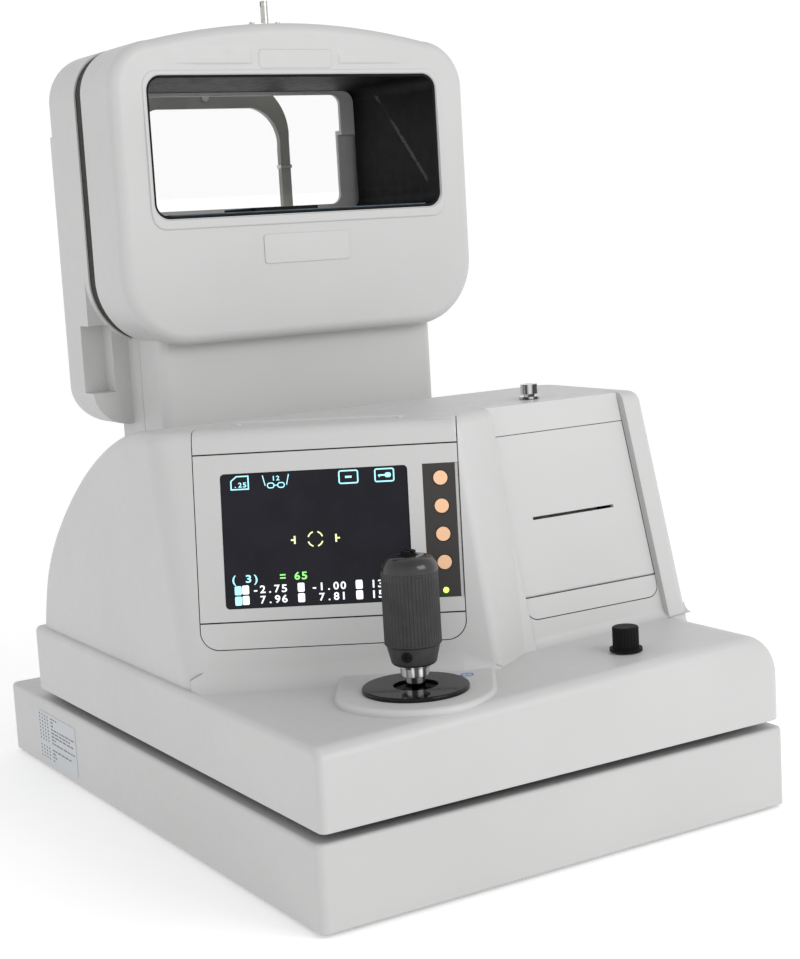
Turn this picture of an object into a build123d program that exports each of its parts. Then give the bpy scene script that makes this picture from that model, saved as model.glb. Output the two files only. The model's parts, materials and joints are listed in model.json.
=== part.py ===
from build123d import *
import math
import os

# Open-field autorefractor, millimetres, +Z up.
# Origin: centre of the base's underside. The operator sits on the -Y side and the
# patient on the +Y side. +X is the operator's right.

# ---------------------------------------------------------------- driving dimensions
BASE_WIDTH = 320.0
BASE_DEPTH = 455.6
BASE_TOP = 50.0
FOOT_HEIGHT = 2.5
SHELL = 3.0                # wall of every moulded cover
TOUCH_GAP = 0.5            # seam between a cover and the panel let into it

STAGE_HALF_WIDTH = 157.5
STAGE_FRONT = -230.0
STAGE_REAR = 174.5
STAGE_BOTTOM = 56.0
TABLE_LEFT_Z = 100.0
TABLE_RIGHT_Z = 109.0
TABLE_RIGHT_RADIUS = 26.0
BODY_HALF_WIDTH = 153.6
ROOF_Z = 247.5
BACK_CURVE = ((-30, ROOF_Z), (38, 232.5), (92.4, 202), (146, 153), (171, 90))
ROOF_RADIUS = 8.0
LEFT_CORNER_RADIUS = 20.0
COLUMN_CORNER_RADIUS = 7.0
FOOT_BLEND = 14.0          # concave round where the housing stands on the table
PRINTER_FOOT_BLEND = 7.0
TABLE_FRONT_RADIUS = 9.0
HALVES_MEET_X = -20.0      # the display's side and the printer's side of the housing meet here

MONITOR_YAW = 33.6         # the display is turned toward an operator sitting to the left
MONITOR_LEAN = 9.6
MONITOR_CENTRE = (-76.1, -108.45, 186.15)
MONITOR_HALF_WIDTH = 76.6
MONITOR_HALF_HEIGHT = 48.7
MONITOR_STRIP = 15.5       # blank strip below the display panel
SCREEN_CENTRE = (-7.0, -2.0)
SCREEN_SIZE = (108.7, 78.2)
BUTTON_U = 66.2
BUTTON_V = (28.7, 12.5, -3.7, -19.9)
BUTTON_RADIUS = 4.1
LED_V = -36.0

PRINTER_LEAN = 15.67
PRINTER_CENTRE = (85.2, -129.15, 182.25)
DOOR_HALF_WIDTH = 50.2
DOOR_HALF_HEIGHT = 49.4
PRINTER_STRIP = 13.3
PILLAR_RISE = 4.0          # the posts beside the printer stand this far proud of it

HEAD_HALF_WIDTH = 129.4
HEAD_FRONT = 33.2
HEAD_TOP = 492.5
HEAD_BOTTOM = 292.0
HEAD_SIDE_TOP = 452.0
HEAD_CORNER = 44.0
HEAD_FRONT_RADIUS = 7.0
SEAM_Y = 82.0
REAR_SHELL_Y = 93.0
REAR_FRAME_Y = 144.0
REAR_HOUSING_Y = 150.0
GASKET_DEPTH = 1.0         # how far the seam gasket lies below the head's surface
NECK_HALF_WIDTH = 102.6
NECK_FRONT = 49.2
NECK_REAR = 118.0
NECK_BOTTOM = 165.0
WINDOW_HALF_WIDTH = 105.75
WINDOW_LOW = 371.3
WINDOW_HIGH = 459.6
REAR_WINDOW_HALF_WIDTH = 93.0
REAR_WINDOW_LOW = 378.0
REAR_WINDOW_HIGH = 455.5
OPTIC_Y = 80.0

STICK_X = -66.4
STICK_Y = -179.6
ISLAND_Z = 105.8
ISLAND_RADIUS = 45.0
ISLAND_EDGE_RADIUS = 3.0
STICK_PIVOT_Z = 88.0
SHAFT_RADIUS = 5.5
RUNNING = 0.05             # radial clearance of a shaft in its bore

AXLE_Y = -20.0
AXLE_Z = 65.0
AXLE_RADIUS = 5.0
GEAR_MODULE = 1.0
PINION_TEETH = 16
RACK_X = 97.0
RACK_LENGTH = 66.0

CHASSIS_LOW = 80.0
CHASSIS_HIGH = 83.0
ROD_X = 70.0
ROD_Y = 68.0
ROD_RADIUS = 5.0
SCREW_RADIUS = 4.0

ARCH_FRONT = 171.0
ARCH_THICKNESS = 5.0
LEG_X = 61.9
LEG_WIDTH = 7.6
EYE_LEVEL_Z = 407.0
LEG_FOOT_Y = 207.0

CHIN_Y = 205.0
CHIN_TOP_Z = 300.0
CHIN_COLUMN_TOP = 226.0
CHIN_STEM_RADIUS = 8.0

KNOB_X = 66.7
KNOB_Y = -198.0
THUMB_X = 82.0
THUMB_Y = -92.0

LABEL_LEFT = 56.0          # dark strip round the keys, in the display's own axes
LABEL_LOW = -40.0
LABEL_HIGH = 37.2
LABEL_DEPTH = 0.8
LAMP_RADIUS = 1.6

HINGE_V = -47.7            # printer door's hinge, in the printer's own axes
HINGE_N = -1.5
HINGE_RADIUS = 1.0
SLOT_U = -1.0
SLOT_V = -2.8
PAPER_WIDTH = 58.0
BAY_DEPTH = -62.0
ROLL_V = -18.0
ROLL_N = -33.0
ROLL_RADIUS = 24.0
SPINDLE_RADIUS = 6.0
PLATEN_V = 13.0
PLATEN_N = -14.0
PLATEN_RADIUS = 6.0

NECK_GAP = 1.2
TABLE_SLOPE = (TABLE_RIGHT_Z - TABLE_LEFT_Z) / (2 * STAGE_HALF_WIDTH - TABLE_RIGHT_RADIUS)
GRIP_LOW = 120.2
GRIP_HIGH = 181.0
GRIP_RADIUS = 15.9
GRIP_FLUTES = 48
BUTTON_RISE = 2.6
COLLAR_RADIUS = 8.0
COLLAR_HEIGHT = 6.0
DISC_RADIUS = 30.0
DISC_HOLE_RADIUS = 12.6
DISC_THICKNESS = 2.4
KNOB_FLUTES = 24

ROD_TOP = 300.0
BENCH_TOP = 334.0
LIFT_GEAR_Z = 102.0
LIFT_GEAR_TEETH = 30
MOTOR_PINION_TEETH = 15
LIFT_PINION_X = GEAR_MODULE * (LIFT_GEAR_TEETH + MOTOR_PINION_TEETH) / 2
POST_Y = 72.0
BOARD_CHIPS = ((-138, -15, 22, 22, 2), (-112, 20, 18, 30, 3), (-138, 40, 14, 14, 2), (-110, 80, 20, 8, 9))

BOLT_X = 120.0             # threaded bosses in the base plate
BOLT_Y = 180.0
BOLT_RADIUS = 2.5
FOOT_X = 138.0
FOOT_Y = 205.0
SWITCH_Z = 24.5
ARCH_SCREW_Z = (465.4, 456.8)
CHIN_STEM_Y = 210.0
CHIN_KNOB_Z = 190.0


# ---------------------------------------------------------------- helpers
def block(x_low, x_high, y_low, y_high, z_low, z_high):
    """A box between two corners."""
    centre = ((x_low + x_high) / 2, (y_low + y_high) / 2, (z_low + z_high) / 2)
    return Pos(*centre) * Box(x_high - x_low, y_high - y_low, z_high - z_low)


def post(x, y, z_low, z_high, radius):
    """An upright cylinder."""
    return Pos(x, y, (z_low + z_high) / 2) * Cylinder(radius, z_high - z_low)


def bar_x(x_low, x_high, y, z, radius):
    """A cylinder along X."""
    return Pos((x_low + x_high) / 2, y, z) * Rot(0, 90, 0) * Cylinder(radius, x_high - x_low)


def bar_y(x, y_low, y_high, z, radius):
    """A cylinder along Y."""
    return Pos(x, (y_low + y_high) / 2, z) * Rot(90, 0, 0) * Cylinder(radius, y_high - y_low)


def nearest_edges(shape, *points):
    """The edge of the shape that lies closest to each point."""
    vertices = [Vertex(*point) for point in points]
    return [min(shape.edges(), key=lambda edge: edge.distance_to(vertex)) for vertex in vertices]


def rounded(shape, radius, *points):
    """The shape with the edges nearest to the points filleted."""
    return fillet(nearest_edges(shape, *points), radius)


def leaning_plane(centre, yaw, lean):
    """A plane on a face that looks toward -Y, turned toward -X by yaw and tilted back by lean."""
    yaw_angle = math.radians(yaw)
    lean_angle = math.radians(lean)
    across = (math.cos(yaw_angle), -math.sin(yaw_angle), 0)
    outward = (
        -math.sin(yaw_angle) * math.cos(lean_angle),
        -math.cos(yaw_angle) * math.cos(lean_angle),
        math.sin(lean_angle),
    )
    return Plane(origin=centre, x_dir=across, z_dir=outward)


def on_plane(plane, u, v, outward=0.0):
    """The point at (u, v, outward) in a plane's own axes."""
    return plane.from_local_coords(Vector(u, v, outward))


def behind(plane, outward):
    """Everything on the inner side of a plane moved outward."""
    reach = 600.0
    return plane * Pos(0, 0, outward - reach / 2) * Box(2 * reach, 2 * reach, reach)


def plate(plane, u_low, u_high, v_low, v_high, n_low, n_high, corner=0.0):
    """A plate in a plane's axes, with its edges along the normal rounded."""
    centre = ((u_low + u_high) / 2, (v_low + v_high) / 2, (n_low + n_high) / 2)
    body = Box(u_high - u_low, v_high - v_low, n_high - n_low)
    if corner > 0:
        body = fillet(body.edges().filter_by(Axis.Z), corner)
    return plane * Pos(*centre) * body


def disc(plane, u, v, n_low, n_high, radius):
    """A cylinder along a plane's normal."""
    return plane * Pos(u, v, (n_low + n_high) / 2) * Cylinder(radius, n_high - n_low)


MONITOR = leaning_plane(MONITOR_CENTRE, MONITOR_YAW, MONITOR_LEAN)
PRINTER = leaning_plane(PRINTER_CENTRE, 0, PRINTER_LEAN)
COLUMN = leaning_plane((-6.0, -146.0, 233.0), -30.5, 10.5)


# ---------------------------------------------------------------- stage cover
def roof_face(inset):
    """Side profile of the upper housing: flat roof, long curved back, moved inward by inset."""
    outer_back = Spline(*BACK_CURVE, tangents=((1, 0), (0.25, -1)))
    points = []
    for step in range(len(BACK_CURVE)):
        place = step / (len(BACK_CURVE) - 1)
        direction = outer_back % place
        inward = Vector(direction.Y, -direction.X)
        points.append(outer_back @ place + inward * inset)
    back = Spline(*points, tangents=(outer_back % 0, outer_back % 1))
    start, end = points[0], points[-1]
    front = STAGE_FRONT + inset
    curve = (
        Line((front, end.Y), (front, start.Y))
        + Line((front, start.Y), start)
        + back
        + Line(end, (front, end.Y))
    )
    return make_face(Plane.YZ * curve)


def soft_edges(form, radius):
    """The form with its roof edges and side edges rounded, but not where its two halves meet."""
    roof = form.bounding_box().max.Z
    edges = []
    for edge in form.edges():
        middle = edge.center()
        on_roof = abs(middle.Z - roof) < 0.5 and middle.Y < BACK_CURVE[0][0] - 2
        on_side = abs(middle.X) > BODY_HALF_WIDTH - SHELL - 1 and middle.Z > TABLE_RIGHT_Z + 1
        hidden = abs(middle.X - HALVES_MEET_X) < 0.5
        lies_over_arc = middle.X < 0 and on_side and middle.Y < -20
        if (on_roof or on_side) and not hidden and not lies_over_arc:
            edges.append(edge)
    return fillet(edges, radius)


def upper_form(inset):
    """The upper housing with every face moved inward by inset."""
    half_width = BODY_HALF_WIDTH - inset
    hull = Pos(-half_width, 0, 0) * extrude(roof_face(inset), 2 * half_width, dir=(1, 0, 0))
    display_side = hull & behind(MONITOR, -inset) & behind(COLUMN, -inset)
    display_side = rounded(display_side, LEFT_CORNER_RADIUS - inset, (-half_width, -59, 175))
    display_side = rounded(display_side, COLUMN_CORNER_RADIUS, tuple(on_plane(MONITOR, 79.5, 0)))
    right_half = block(HALVES_MEET_X, 200, -260, 200, 60, 300)
    printer_side = hull & behind(PRINTER, PILLAR_RISE - inset) & right_half
    return soft_edges(display_side, ROOF_RADIUS - inset) + soft_edges(printer_side, ROOF_RADIUS - inset)


def table_form(inset, z_low):
    """The table and skirt: a prism along Y with its large round along the right edge."""
    side = STAGE_HALF_WIDTH - inset
    left = TABLE_LEFT_Z - inset
    right = TABLE_RIGHT_Z - inset
    radius = TABLE_RIGHT_RADIUS - inset
    diagonal = radius * math.sqrt(0.5)
    curve = (
        Line((-side, z_low), (-side, left))
        + Line((-side, left), (side - radius, right))
        + ThreePointArc(
            (side - radius, right),
            (side - radius + diagonal, right - radius + diagonal),
            (side, right - radius),
        )
        + Line((side, right - radius), (side, z_low))
        + Line((side, z_low), (-side, z_low))
    )
    depth = STAGE_REAR - STAGE_FRONT - 2 * inset
    face = make_face(Plane.XZ * curve)
    return Pos(0, STAGE_FRONT + inset, 0) * extrude(face, depth, dir=(0, 1, 0))


def joystick_island(radius, z_low, z_high):
    """The flat raised land round the joystick, running back to the display."""
    land = post(STICK_X, STICK_Y, z_low, z_high, radius)
    toward_display = Plane(
        origin=(STICK_X, STICK_Y, 0), x_dir=MONITOR.x_dir, z_dir=(0, 0, 1)
    )
    run_back = plate(toward_display, -radius, radius, 0, 62, z_low, z_high)
    island = land + run_back
    rim = [edge for edge in island.edges() if abs(edge.center().Z - z_high) < 0.1]
    return fillet(rim, ISLAND_EDGE_RADIUS)


def cover_outside():
    """The stage cover as a full block, with its edges rounded."""
    table = table_form(0, STAGE_BOTTOM)
    table = rounded(table, TABLE_FRONT_RADIUS, (0, STAGE_FRONT, 104.5))
    table = rounded(table, 4.0, (-STAGE_HALF_WIDTH, STAGE_FRONT, 70), (STAGE_HALF_WIDTH, STAGE_FRONT, 70))
    table = rounded(table, 4.0, (-STAGE_HALF_WIDTH, STAGE_REAR, 70), (STAGE_HALF_WIDTH, STAGE_REAR, 70))
    upper = upper_form(0)
    channel = plate(PRINTER, -DOOR_HALF_WIDTH - 1.2, DOOR_HALF_WIDTH + 1.2, -90, 90, 0, 30)
    upper = upper - channel
    return upper, table


def cover_inside():
    """The hollow inside the stage cover, open underneath."""
    hollow = upper_form(SHELL) & block(-200, 200, -300, 300, 93, 300)
    hollow = hollow - plate(
        PRINTER, -DOOR_HALF_WIDTH - 1.2 - SHELL, DOOR_HALF_WIDTH + 1.2 + SHELL, -90, 90, -SHELL, 30
    )
    under_table = table_form(SHELL, STAGE_BOTTOM - 20)
    under_table = rounded(under_table, TABLE_FRONT_RADIUS - SHELL, (0, STAGE_FRONT + SHELL, 101.5))
    return hollow + under_table


def foot_blend(plane, radius, u_low, u_high, taper):
    """The concave round between a leaning face and the table, fading out over its ends."""
    table_normal = Vector(-TABLE_SLOPE, 0, 1).normalized()
    along = table_normal.cross(plane.z_dir).normalized()
    outward = along.cross(table_normal)
    if outward.dot(plane.z_dir) < 0:
        outward = outward * -1
    upward = along.cross(plane.z_dir)
    if upward.Z < 0:
        upward = upward * -1
    drop = plane.origin.Z - TABLE_LEFT_Z - (plane.origin.X + STAGE_HALF_WIDTH) * TABLE_SLOPE
    foot = plane.origin - upward * (drop / upward.dot(table_normal) * table_normal.Z)
    half_angle = math.acos(outward.dot(upward)) / 2
    bisector = (outward + upward).normalized()
    reach = radius / math.tan(half_angle)
    middle = foot + bisector * (radius / math.sin(half_angle) - radius)
    axis = along if along.dot(plane.x_dir) > 0 else along * -1

    def section(u, scale):
        corner = foot + axis * u
        low = corner + outward * reach * scale
        high = corner + upward * reach * scale
        root = corner - bisector * (SHELL / 2) * scale
        hollow_point = corner + (middle - foot) * scale
        return make_face(Line(low, root) + Line(root, high) + ThreePointArc(high, hollow_point, low))

    strip = extrude(section(u_low, 1), u_high - u_low, dir=axis)
    if taper:
        strip += loft([section(u_low - taper, 0.1), section(u_low, 1)])
        strip += loft([section(u_high, 1), section(u_high + taper, 0.1)])
    return strip


def display_opening(gap):
    """The space of the display insert, running over the roof's front edge."""
    side = MONITOR_HALF_WIDTH + gap
    low = -MONITOR_HALF_HEIGHT - MONITOR_STRIP - gap
    return plate(MONITOR, -side, side, low, 95, -16 - gap, 6, 11 + gap)


def printer_opening(gap):
    """The space of the printer's door and the strips above and below it."""
    side = DOOR_HALF_WIDTH + gap
    low = -DOOR_HALF_HEIGHT - PRINTER_STRIP - gap
    return plate(PRINTER, -side, side, low, 95, -14 - gap, 6, 8 + gap)


def printer_rod(u_low, u_high, v, n, radius):
    """A cylinder across the printer, at (v, n) in its plane's axes."""
    centre = ((u_low + u_high) / 2, v, n)
    return PRINTER * Pos(*centre) * Rot(0, 90, 0) * Cylinder(radius, u_high - u_low)


def stage_skin():
    """The whole moulded skin of the stage, before its openings are cut."""
    upper, table = cover_outside()
    whole = upper + table + joystick_island(ISLAND_RADIUS, 90, ISLAND_Z)
    inside_outline = block(-BODY_HALF_WIDTH, BODY_HALF_WIDTH, STAGE_FRONT, STAGE_REAR, 90, 140)
    whole += foot_blend(MONITOR, FOOT_BLEND, -76, 72, 22) & inside_outline
    whole += foot_blend(PRINTER, PRINTER_FOOT_BLEND, -DOOR_HALF_WIDTH - 8, 66, 14) & inside_outline
    return whole - cover_inside()


def make_body_cover(skin):
    cover = skin - display_opening(TOUCH_GAP) - printer_opening(TOUCH_GAP)
    side = NECK_HALF_WIDTH + NECK_GAP
    cover -= block(-side, side, NECK_FRONT - NECK_GAP, NECK_REAR + NECK_GAP, 130, 300)
    cover -= post(STICK_X, STICK_Y, 90, 120, 24)
    cover -= post(KNOB_X, KNOB_Y, 90, 120, 4.4)
    cover -= post(THUMB_X, THUMB_Y, 230, 260, 2.4)
    reach = DOOR_HALF_WIDTH + 3
    return cover - printer_rod(-reach, reach, HINGE_V, HINGE_N, HINGE_RADIUS + RUNNING)


# ---------------------------------------------------------------- display
def screen_plate(margin, n_low, n_high, corner):
    """A plate as large as the screen opening, grown by a margin."""
    u, v = SCREEN_CENTRE
    half_width = SCREEN_SIZE[0] / 2 + margin
    half_height = SCREEN_SIZE[1] / 2 + margin
    return plate(MONITOR, u - half_width, u + half_width, v - half_height, v + half_height,
                 n_low, n_high, corner)


def key_holes():
    """The holes for the keys and the lamp."""
    holes = disc(MONITOR, BUTTON_U, LED_V, -9, 9, LAMP_RADIUS + 0.1)
    for button_v in BUTTON_V:
        holes += disc(MONITOR, BUTTON_U, button_v, -9, 9, BUTTON_RADIUS + 0.4)
    return holes


def make_display_bezel(skin):
    """The insert round the screen: panel, blank strips and the grooves between them."""
    insert = (skin & display_opening(0)) - screen_plate(0, -9, 9, 2.5)
    for groove_v in (-MONITOR_HALF_HEIGHT, MONITOR_HALF_HEIGHT):
        insert -= plate(MONITOR, -90, 90, groove_v - 0.4, groove_v + 0.4, -0.9, 9)
    insert -= plate(MONITOR, LABEL_LEFT, 90, LABEL_LOW, LABEL_HIGH, -LABEL_DEPTH, 9)
    return insert - key_holes()


def make_key_label():
    """The dark strip that frames the four keys."""
    label = plate(MONITOR, LABEL_LEFT + 0.1, MONITOR_HALF_WIDTH - 1.8, LABEL_LOW + 0.1,
                  LABEL_HIGH - 0.1, -LABEL_DEPTH, 0)
    return label - key_holes()


def make_display_glass():
    return screen_plate(-0.15, -2.4, -0.8, 2.3)


def make_lcd_module():
    case = screen_plate(5.0, -13, -3.2, 1.0)
    driver_board = screen_plate(-12.0, -16, -13, 1.0)
    return case + driver_board


def make_key_board():
    return plate(MONITOR, 56.5, 75.0, -42, 36, -7.2, -5.6)


def make_key(button_v):
    """One round key, standing slightly proud of the label."""
    return disc(MONITOR, BUTTON_U, button_v, -4.4, 0.6, BUTTON_RADIUS)


def make_power_lamp():
    return disc(MONITOR, BUTTON_U, LED_V, -5.6, 0.3, LAMP_RADIUS)


# ---------------------------------------------------------------- printer
def make_printer_bezel(skin):
    """The blank strips above and below the printer door."""
    insert = skin & printer_opening(0)
    reach = DOOR_HALF_HEIGHT + 0.2
    return insert - plate(PRINTER, -90, 90, -reach, reach, -40, 9)


def make_printer_door():
    """The door with its paper slot, its lower edge round about the hinge pins."""
    side = DOOR_HALF_WIDTH - 0.2
    door = plate(PRINTER, -side, side, HINGE_V, DOOR_HALF_HEIGHT - 0.2, -SHELL, 0)
    door += printer_rod(-side, side, HINGE_V, HINGE_N, SHELL / 2)
    door += printer_rod(-side - 2.4, side + 2.4, HINGE_V, HINGE_N, HINGE_RADIUS)
    slot = plate(PRINTER, SLOT_U - 30.7, SLOT_U + 30.7, SLOT_V - 0.9, SLOT_V + 0.9, -9, 9)
    finger_rib = plate(PRINTER, -30, 30, 38, 41, -6, -SHELL)
    return door - slot + finger_rib


def make_printer_frame():
    """The paper bay: a bucket open to the front, with a flange behind the door."""
    half = PAPER_WIDTH / 2 + 4
    bucket = plate(PRINTER, -half, half, -47, 30, BAY_DEPTH, -5)
    hollow = plate(PRINTER, -half + 3, half - 3, -44, 27, BAY_DEPTH + 3, 0)
    flange = plate(PRINTER, -53, 53, -58, 58, -5, -3.1) - plate(PRINTER, -47, 47, -44, 44, -9, 9)
    link_low = plate(PRINTER, -half, half, -50, -44, -8, -5)
    side_links = plate(PRINTER, -49, 49, 26, 30, -9, -5) - plate(PRINTER, -half + 3, half - 3, 0, 40, -20, 0)
    print_head = plate(PRINTER, -half + 3, half - 3, 17, 25, -30, -22)
    frame = bucket + flange + link_low + side_links - hollow + print_head
    return frame - printer_rod(-60, 60, PLATEN_V, PLATEN_N, 2.5 + RUNNING)


def make_platen():
    half = PAPER_WIDTH / 2
    return (printer_rod(-half, half, PLATEN_V, PLATEN_N, PLATEN_RADIUS)
            + printer_rod(-half - 3.9, half + 3.9, PLATEN_V, PLATEN_N, 2.5))


def make_paper_roll():
    half = PAPER_WIDTH / 2
    return (printer_rod(-half, half, ROLL_V, ROLL_N, ROLL_RADIUS)
            - printer_rod(-half - 1, half + 1, ROLL_V, ROLL_N, SPINDLE_RADIUS + RUNNING))


def make_paper_spindle():
    half = PAPER_WIDTH / 2 + 1
    return printer_rod(-half, half, ROLL_V, ROLL_N, SPINDLE_RADIUS)


# ---------------------------------------------------------------- table controls
def make_joystick_disc():
    disc_body = post(STICK_X, STICK_Y, ISLAND_Z, ISLAND_Z + DISC_THICKNESS, DISC_RADIUS)
    disc_body = fillet(disc_body.edges().sort_by(Axis.Z)[-1], 1.2)
    return disc_body - post(STICK_X, STICK_Y, 90, 120, DISC_HOLE_RADIUS)


def make_joystick_socket():
    """The fixed ring that carries the outer gimbal pins."""
    ring = post(STICK_X, STICK_Y, CHASSIS_HIGH, 97, 21) - post(STICK_X, STICK_Y, 80, 100, 17)
    return ring - bar_x(STICK_X - 30, STICK_X + 30, STICK_Y, STICK_PIVOT_Z, 2 + RUNNING)


def make_gimbal_ring():
    ring = post(STICK_X, STICK_Y, STICK_PIVOT_Z - 4, STICK_PIVOT_Z + 4, 13)
    ring -= post(STICK_X, STICK_Y, STICK_PIVOT_Z - 5, STICK_PIVOT_Z + 5, 8)
    pins = bar_x(STICK_X - 20.5, STICK_X + 20.5, STICK_Y, STICK_PIVOT_Z, 2)
    pins -= post(STICK_X, STICK_Y, 80, 100, 12)
    return ring + pins - bar_y(STICK_X, STICK_Y - 20, STICK_Y + 20, STICK_PIVOT_Z, 2 + RUNNING)


def make_joystick_shaft():
    """The tilting shaft with its ball foot, cross pin and collar."""
    shaft = post(STICK_X, STICK_Y, 60, 165, SHAFT_RADIUS)
    foot = Pos(STICK_X, STICK_Y, BASE_TOP + 1.5 + 0.4 + 6) * Sphere(6)
    cross_pin = bar_y(STICK_X, STICK_Y - 12.5, STICK_Y + 12.5, STICK_PIVOT_Z, 2)
    collar_top = GRIP_LOW - 0.2
    collar = post(STICK_X, STICK_Y, collar_top - COLLAR_HEIGHT, collar_top, COLLAR_RADIUS)
    flange = post(STICK_X, STICK_Y, collar_top - 1.4, collar_top, COLLAR_RADIUS + 0.6)
    return shaft + foot + cross_pin + collar + flange


def make_joystick_grip():
    """The twist grip: fluted barrel, tapered foot and rounded shoulder."""
    outline = (
        Line((SHAFT_RADIUS + RUNNING, GRIP_LOW), (10.2, GRIP_LOW))
        + ThreePointArc((10.2, GRIP_LOW), (12.0, GRIP_LOW + 0.7), (12.8, GRIP_LOW + 2.3))
        + Line((12.8, GRIP_LOW + 2.3), (GRIP_RADIUS - 1, GRIP_LOW + 11))
        + Line((GRIP_RADIUS - 1, GRIP_LOW + 11), (GRIP_RADIUS, GRIP_LOW + 12))
        + Line((GRIP_RADIUS, GRIP_LOW + 12), (GRIP_RADIUS, GRIP_HIGH - 9))
        + ThreePointArc((GRIP_RADIUS, GRIP_HIGH - 9), (14.0, GRIP_HIGH - 2.6), (8.5, GRIP_HIGH))
        + Line((8.5, GRIP_HIGH), (SHAFT_RADIUS + RUNNING, GRIP_HIGH))
        + Line((SHAFT_RADIUS + RUNNING, GRIP_HIGH), (SHAFT_RADIUS + RUNNING, GRIP_LOW))
    )
    grip = revolve(make_face(Plane.XZ * outline), Axis.Z)
    flute_low = GRIP_LOW + 12.5
    flute_high = GRIP_HIGH - 8.5
    for index in range(GRIP_FLUTES):
        flute = post(GRIP_RADIUS + 0.3, 0, flute_low, flute_high, 0.8)
        grip -= Rot(0, 0, 360 / GRIP_FLUTES * index) * flute
    grip = Pos(STICK_X, STICK_Y, 0) * grip
    return grip - grip_screw_form()


def grip_screw_plane():
    """The seat of the screw in the grip's tapered foot."""
    direction = Vector(-0.74, -0.67, 0)
    return Plane(origin=Vector(STICK_X, STICK_Y, GRIP_LOW + 6.8) + direction * 11, z_dir=direction)


def grip_screw_form():
    """The screw's head and thread as plain cylinders."""
    head = Pos(0, 0, 1.6) * Cylinder(3.0, 4.0)
    thread = Pos(0, 0, -1.8) * Cylinder(1.4, 3.6)
    return grip_screw_plane() * (head + thread)


def make_grip_screw():
    cross = Box(3.8, 0.9, 1.8) + Box(0.9, 3.8, 1.8)
    return grip_screw_form() - grip_screw_plane() * Pos(0, 0, 3.6) * cross


def make_top_button():
    """The push button on the grip, with a cross-slotted cap."""
    cap_top = GRIP_HIGH + BUTTON_RISE
    guide = post(STICK_X, STICK_Y, 168, GRIP_HIGH, 4.9)
    cap = post(STICK_X, STICK_Y, GRIP_HIGH, cap_top, 4.2)
    slots = Box(10, 1.2, 2.4) + Box(1.2, 10, 2.4)
    return guide + cap - Pos(STICK_X, STICK_Y, cap_top) * slots


def make_lock_knob():
    """Knurled lock knob for the sliding stage, with its stem through the cover."""
    table_z = TABLE_LEFT_Z + (KNOB_X + STAGE_HALF_WIDTH) * TABLE_SLOPE
    flange = post(KNOB_X, KNOB_Y, table_z + 0.8, table_z + 2.4, 9.6)
    cap = post(KNOB_X, KNOB_Y, table_z + 2.4, table_z + 15.0, 7.7)
    cap = fillet(cap.edges().sort_by(Axis.Z)[-1], 1.0)
    for index in range(KNOB_FLUTES):
        groove = Pos(8.1, 0, table_z + 8.7) * Cylinder(0.7, 13)
        cap -= Pos(KNOB_X, KNOB_Y, 0) * Rot(0, 0, 360 / KNOB_FLUTES * index) * groove
    stem = post(KNOB_X, KNOB_Y, CHASSIS_HIGH + 1, table_z + 0.8, 4)
    return flange + cap + stem


def make_thumb_screw():
    """Chrome thumb screw that holds the cover down."""
    flange = post(THUMB_X, THUMB_Y, ROOF_Z + 0.3, ROOF_Z + 1.8, 6.2)
    neck = post(THUMB_X, THUMB_Y, ROOF_Z + 1.8, ROOF_Z + 3.4, 3.4)
    head = post(THUMB_X, THUMB_Y, ROOF_Z + 3.4, ROOF_Z + 9.4, 5.2)
    for index in range(16):
        groove = Pos(5.5, 0, ROOF_Z + 6.4) * Cylinder(0.6, 8)
        head -= Pos(THUMB_X, THUMB_Y, 0) * Rot(0, 0, 22.5 * index) * groove
    stem = post(THUMB_X, THUMB_Y, ROOF_Z - 12, ROOF_Z + 0.3, 2.0)
    return flange + neck + head + stem


# ---------------------------------------------------------------- stage inside
def make_chassis_plate():
    chassis = block(-150, 150, -222, 167, CHASSIS_LOW, CHASSIS_HIGH)
    chassis -= post(STICK_X, STICK_Y, 70, 90, 14)
    for x in (-ROD_X, ROD_X):
        chassis -= post(x, ROD_Y, 70, 90, ROD_RADIUS)
    return chassis


def make_axle_bearings():
    """Two linear bearings under the chassis: the stage slides on the axle through them."""
    bearings = []
    for x in (-35, 35):
        housing = block(x - 10, x + 10, AXLE_Y - 11, AXLE_Y + 11, AXLE_Z - 9, CHASSIS_LOW)
        bearings.append(housing - bar_x(x - 11, x + 11, AXLE_Y, AXLE_Z, AXLE_RADIUS + RUNNING))
    return bearings


def make_main_board():
    board = block(-145, -82, -30, 145, 90, 91.6)
    for x, y, width, depth, height in BOARD_CHIPS:
        board += block(x, x + width, y, y + depth, 91.6, 91.6 + height)
    for x in (-140, -88):
        for y in (-24, 138):
            board += post(x, y, CHASSIS_HIGH, 90, 2.5)
    return board


def make_power_supply():
    case = block(88, 147, -70, 60, CHASSIS_HIGH, 120)
    for index in range(9):
        y = -60 + 13 * index
        case -= block(94, 141, y, y + 6, 118.5, 121)
    return case


def make_guide_rods():
    rods = [post(x, ROD_Y, CHASSIS_LOW, ROD_TOP, ROD_RADIUS) for x in (-ROD_X, ROD_X)]
    return Compound(children=rods)


def gear(teeth, face_width, bore):
    """A spur gear about Z with plain tapered teeth, a tooth gap facing -X at rest."""
    pitch_radius = GEAR_MODULE * teeth / 2
    root = pitch_radius - 1.15 * GEAR_MODULE
    tip = pitch_radius + 0.8 * GEAR_MODULE
    blank = Cylinder(root, face_width)
    tooth = Polyline((root - 0.6, -0.95), (tip, -0.33), (tip, 0.33), (root - 0.6, 0.95), close=True)
    tooth_body = extrude(make_face(tooth), face_width / 2, both=True)
    for index in range(teeth):
        blank += Rot(0, 0, 360 / teeth * (index + 0.5)) * tooth_body
    return blank - Cylinder(bore, face_width + 2)


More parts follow.
